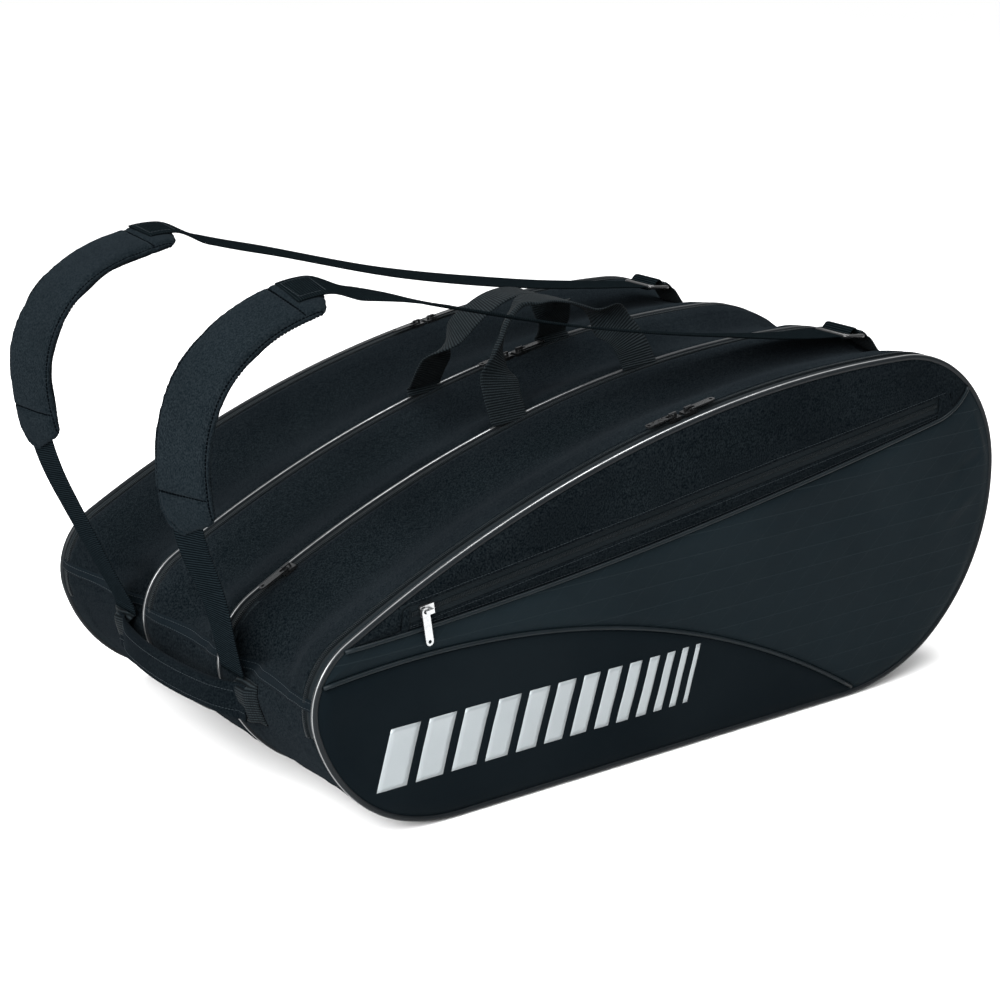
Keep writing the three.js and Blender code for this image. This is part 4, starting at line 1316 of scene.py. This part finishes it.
def strap_webbing(name):
    strap = Strap(name)
    length, s0, s1 = strap.length, strap.s0, strap.s1
    body = f"{name}_strap"

    shares = list(np.linspace(0, s0 + 36 / length, 52))
    low = [strap.webbing_at(s) for s in shares]
    first = low[0]
    # The sewn foot runs on below the strap's pivot, under the end seam's binding.
    foot = [first + Vector((2.0, 0, -9.0)), first + Vector((0.8, 0, -4.0))]
    # The lower webbing wears the darker copy: painted shade.
    obj = band(
        f"{name}_strap_foot", foot + low, [Y, Y] + [strap.frame(s)[0] for s in shares], "shaded_low_webbing",
        replaces=(f"{name}_strap_lower_webbing",), slot="webbing",
    )
    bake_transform(obj)

    # The upper webbing is sewn onto the pad's outer face, comes off its end and runs to the buckle.
    shares = list(np.linspace(s1 - ON_PAD / length, 1, 150))
    lifts = [PAD_FACE * (1 - smooth(s, s1 - 6 / length, s1 + 30 / length)) for s in shares]
    high = [strap.webbing_at(s, lift) for s, lift in zip(shares, lifts)]
    curve = Route([high[-2], high[-1], *(in_buckle(name, x, z) for x, z in THROUGH)])
    tail = [curve.at(s) for s in np.linspace(0, 1, 40)][4:]
    obj = band(
        f"{name}_strap_top", high + tail, [strap.frame(s)[0] for s in shares] + [Y] * len(tail),
        "strap_webbing", replaces=(f"{name}_strap_upper_webbing",), slot="webbing",
    )
    end, near = high[-1], strap.route.at(0.86)
    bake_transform(obj)
    box = [(-14, 4), (14, 4), (14, ON_PAD - 3), (-14, ON_PAD - 3), (-14, 4)]
    ring = []
    for (a0, d0), (a1, d1) in zip(box, box[1:]):
        for k in range(8):
            a, d = a0 + (a1 - a0) * k / 8, d0 + (d1 - d0) * k / 8
            s = s1 - d / length
            ring.append(strap.webbing_at(s, PAD_FACE + WEBBING / 2 + 0.1) + strap.frame(s)[0] * a)
    stitch_row(f"{name}_strap_box_stitches", ring, body, "webbing")


def buckle(name):
    """A ladder-lock buckle: a rounded frame with a bar across its middle."""
    r, inset = BUCKLE_CORNER, BUCKLE_RIM + BUCKLE_CORNER
    far, side = BUCKLE_LENGTH - inset, BUCKLE_WIDTH / 2 - inset
    ring = []
    for x, y, start in ((far, side, 0), (inset, side, 90), (inset, -side, 180), (far, -side, 270)):
        for a in (math.radians(start + 15 * k) for k in range(7)):
            ring.append(in_buckle(name, x + r * math.cos(a), 0, y + r * math.sin(a)))
    ring.append(ring[0])
    up = (in_buckle(name, 0, 1) - in_buckle(name, 0, 0)).normalized()
    ways = [(b - a).normalized() for a, b in zip([ring[-2], *ring], [*ring[1:], ring[1]])]
    tube(
        f"{name}_ladder_lock", ring, lambda i: (ways[i].cross(up).normalized(), up), BUCKLE_RIM, 12,
        "plastic", body="bag", replaces=(f"{name}_strap_buckle",), slot="buckle_plastic",
    )
    reach = BUCKLE_WIDTH / 2 - BUCKLE_RIM
    tube(
        f"{name}_ladder_bar", [in_buckle(name, BUCKLE_LENGTH / 2, 0, y) for y in (-reach, reach)],
        lambda i: (Y.cross(up), up), BUCKLE_BAR, 12, "plastic", closed=False, body="bag",
        slot="buckle_plastic",
    )


for name in STRAPS:
    pad_piece(name)
    strap_webbing(name)
    buckle(name)

# ---------- the left end ----------

END_HANDLE_Y, END_HANDLE_Z = (-112.0, 92.0), 101.0
END_HANDLE_STEPS = 60


def end_handle():
    """The padded lifting handle across the left end, with a sewn patch over each of its feet."""
    y0, y1 = END_HANDLE_Y
    path, sizes = [], []
    for i in range(-3, END_HANDLE_STEPS + 4):
        share = i / END_HANDLE_STEPS
        out = 16.0 * math.sin(math.pi * min(1.0, max(0.0, share))) ** 0.6
        path.append(Vector((rim(285)[0] - CLEAR - 3.0 - out, y0 + share * (y1 - y0), END_HANDLE_Z)))
        end = min(i + 3, END_HANDLE_STEPS + 3 - i)
        sizes.append((33 - 6 * smooth(end, 2, 14), 2.4 + 5.2 * smooth(end, 3, 12)))
    obj = band(
        "end_lift_handle", path, [(0, 0, 1)] * len(path), "end_cloth", "bag", width=30.0,
        sizes=sizes, replaces=("end_handle",), slot="pad_cloth",
    )
    for label, z in (("low", -8.5), ("high", 8.5)):
        points = [p + Vector((-thick / 2 - 0.1, 0, z)) for p, (_, thick) in zip(path, sizes)]
        stitch_row(f"end_handle_stitches_{label}", points, "bag", "pad_cloth")
    for label, y, inward in (("front", y0, 1), ("rear", y1, -1)):
        points = []
        for z in (END_HANDLE_Z - 19 + 38 * i / 14 for i in range(15)):
            t = heading_at_height(z, 250, 340)
            over = 8.0 * (1 - smooth(abs(z - END_HANDLE_Z), 13, 18))
            row = []
            for j in range(11):
                at = y + (30 * j / 10 - 22) * inward
                ground = max(GUSSETS[label].height(t, at), -4.0)
                row.append(on_rim(t, at, ground + 1.4 + over * smooth(j / 10, 0.0, 0.35)))
            points.append(row)
        panel(
            f"end_handle_{label}_patch", points, [[p[:0:-1] for p in row] for row in points],
            lambda c: Vector((-1, 0, 0)), "webbing", 1.4, body="bag", slot="webbing",
        )


BINDING_REACH, BINDING_STEPS = 4.7, 40  # degrees of heading on both sides of the seam
BINDING = ((-1, 0.1), (-0.94, 0.9), (-0.5, 1.2), (0, 1.25), (0.5, 1.2), (0.94, 0.9), (1, 0.1))


def end_binding(name, gusset):
    """The band over the end seam between two pipings, with a row of stitches near each edge."""
    y0, y1 = gusset.seams
    ys = [y0 + (y1 - y0) * i / BINDING_STEPS for i in range(BINDING_STEPS + 1)]
    points = [[gusset.over(END_SEAM + side * BINDING_REACH, y, lift) for side, lift in BINDING] for y in ys]
    uv = [[(y - y0, (side + 1) * 5) for side, _ in BINDING] for y in ys]
    panel(
        f"{name}_end_binding", points, uv, lambda c: Vector((-1, 0, 0.2)), "binding", 0,
        body="bag", slot="webbing",
    )
    for label, side in (("high", -0.55), ("low", 0.55)):
        row = [gusset.over(END_SEAM + side * BINDING_REACH, y, 1.3) for y in ys]
        stitch_row(f"{name}_end_stitches_{label}", row, "bag", "webbing")


end_handle()
for name, gusset in GUSSETS.items():
    end_binding(name, gusset)

# ---------- hardware ----------

ANCHOR_END = {"front": 348.0, "rear": 328.0}


def strap_anchor(name):
    """The sewn webbing that holds the buckle: round its far bar, then down onto the cloth."""
    y = STRAPS[name][-1][1]
    path = [in_buckle(name, BUCKLE_LENGTH + x, z) for x, z in ((-6, 2.6), (-2.4, 3.6), (1.6, 1.4))]
    first = in_buckle(name, BUCKLE_LENGTH + 5, -1.5)
    for x in np.linspace(first.x, ANCHOR_END[name], 22):
        ground = GUSSETS[name].over(top_heading(x), y, 1.2)[2]
        settled = smooth(x, first.x, first.x + 18)
        path.append(Vector((x, y, (first.z - (x - first.x) * 0.25) * (1 - settled) + ground * settled)))
    band(
        f"{name}_strap_tail", path, [Y] * len(path), "webbing", "bag",
        replaces=(f"{name}_strap_anchor",), slot="webbing",
    )


def dress(node, look, bevel=0.0):
    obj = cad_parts[node]
    obj.data.materials.clear()
    obj.data.materials.append(LOOKS[look])
    if bevel:
        modify(
            obj, "BEVEL", width=bevel * MM, segments=2, limit_method="ANGLE", angle_limit=math.radians(35)
        )


for name in STRAPS:
    strap_anchor(name)
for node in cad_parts:
    if node.endswith(("_slider", "_puller")):
        dress(node, "bright" if node.startswith("pocket") else "dark", 0.35)
    elif node in ("front_lid_panel", "front_base_panel", "front_divider", "rear_divider"):
        dress(node, "lining")

# ---------- room and light ----------


def area_light(name, place, size, energy):
    """A rectangular light that faces the bag."""
    data = bpy.data.lights.new(name, "AREA")
    data.shape = "RECTANGLE"
    data.size, data.size_y = size
    data.energy = energy
    aimed(name, data, place, Vector((0, 0, 0.2)) - Vector(place))


def make_room():
    bm = bmesh.new()
    bmesh.ops.create_grid(bm, x_segments=1, y_segments=1, size=40.0)
    mesh = bpy.data.meshes.new("floor")
    bm.to_mesh(mesh)
    bm.free()
    floor = link("floor", mesh, "floor")
    floor.location.z = -0.0006

    # A white studio that is brighter above.
    scene, world = bpy.context.scene, bpy.data.worlds.new("studio")
    scene.world = world
    world.use_nodes = True
    tree = world.node_tree
    background = tree.nodes["Background"].inputs
    kinds = ("TexCoord", "SeparateXYZ", "MapRange")
    where, split, ramp = (tree.nodes.new("ShaderNode" + kind) for kind in kinds)
    tree.links.new(where.outputs["Generated"], split.inputs[0])
    tree.links.new(split.outputs["Z"], ramp.inputs["Value"])
    for socket, value in ((1, 0.05), (2, 0.8), (3, 0.25), (4, 1.5)):
        ramp.inputs[socket].default_value = value
    tree.links.new(ramp.outputs[0], background["Strength"])
    background["Color"].default_value = (1, 1, 1, 1)
    scene.view_settings.view_transform = "Standard"
    area_light("top", (0.5, 0.2, 2.3), (2.8, 0.6), 72)
    area_light("left", (-2.2, -0.9, 1.4), (2.4, 1.8), 170)


make_room()
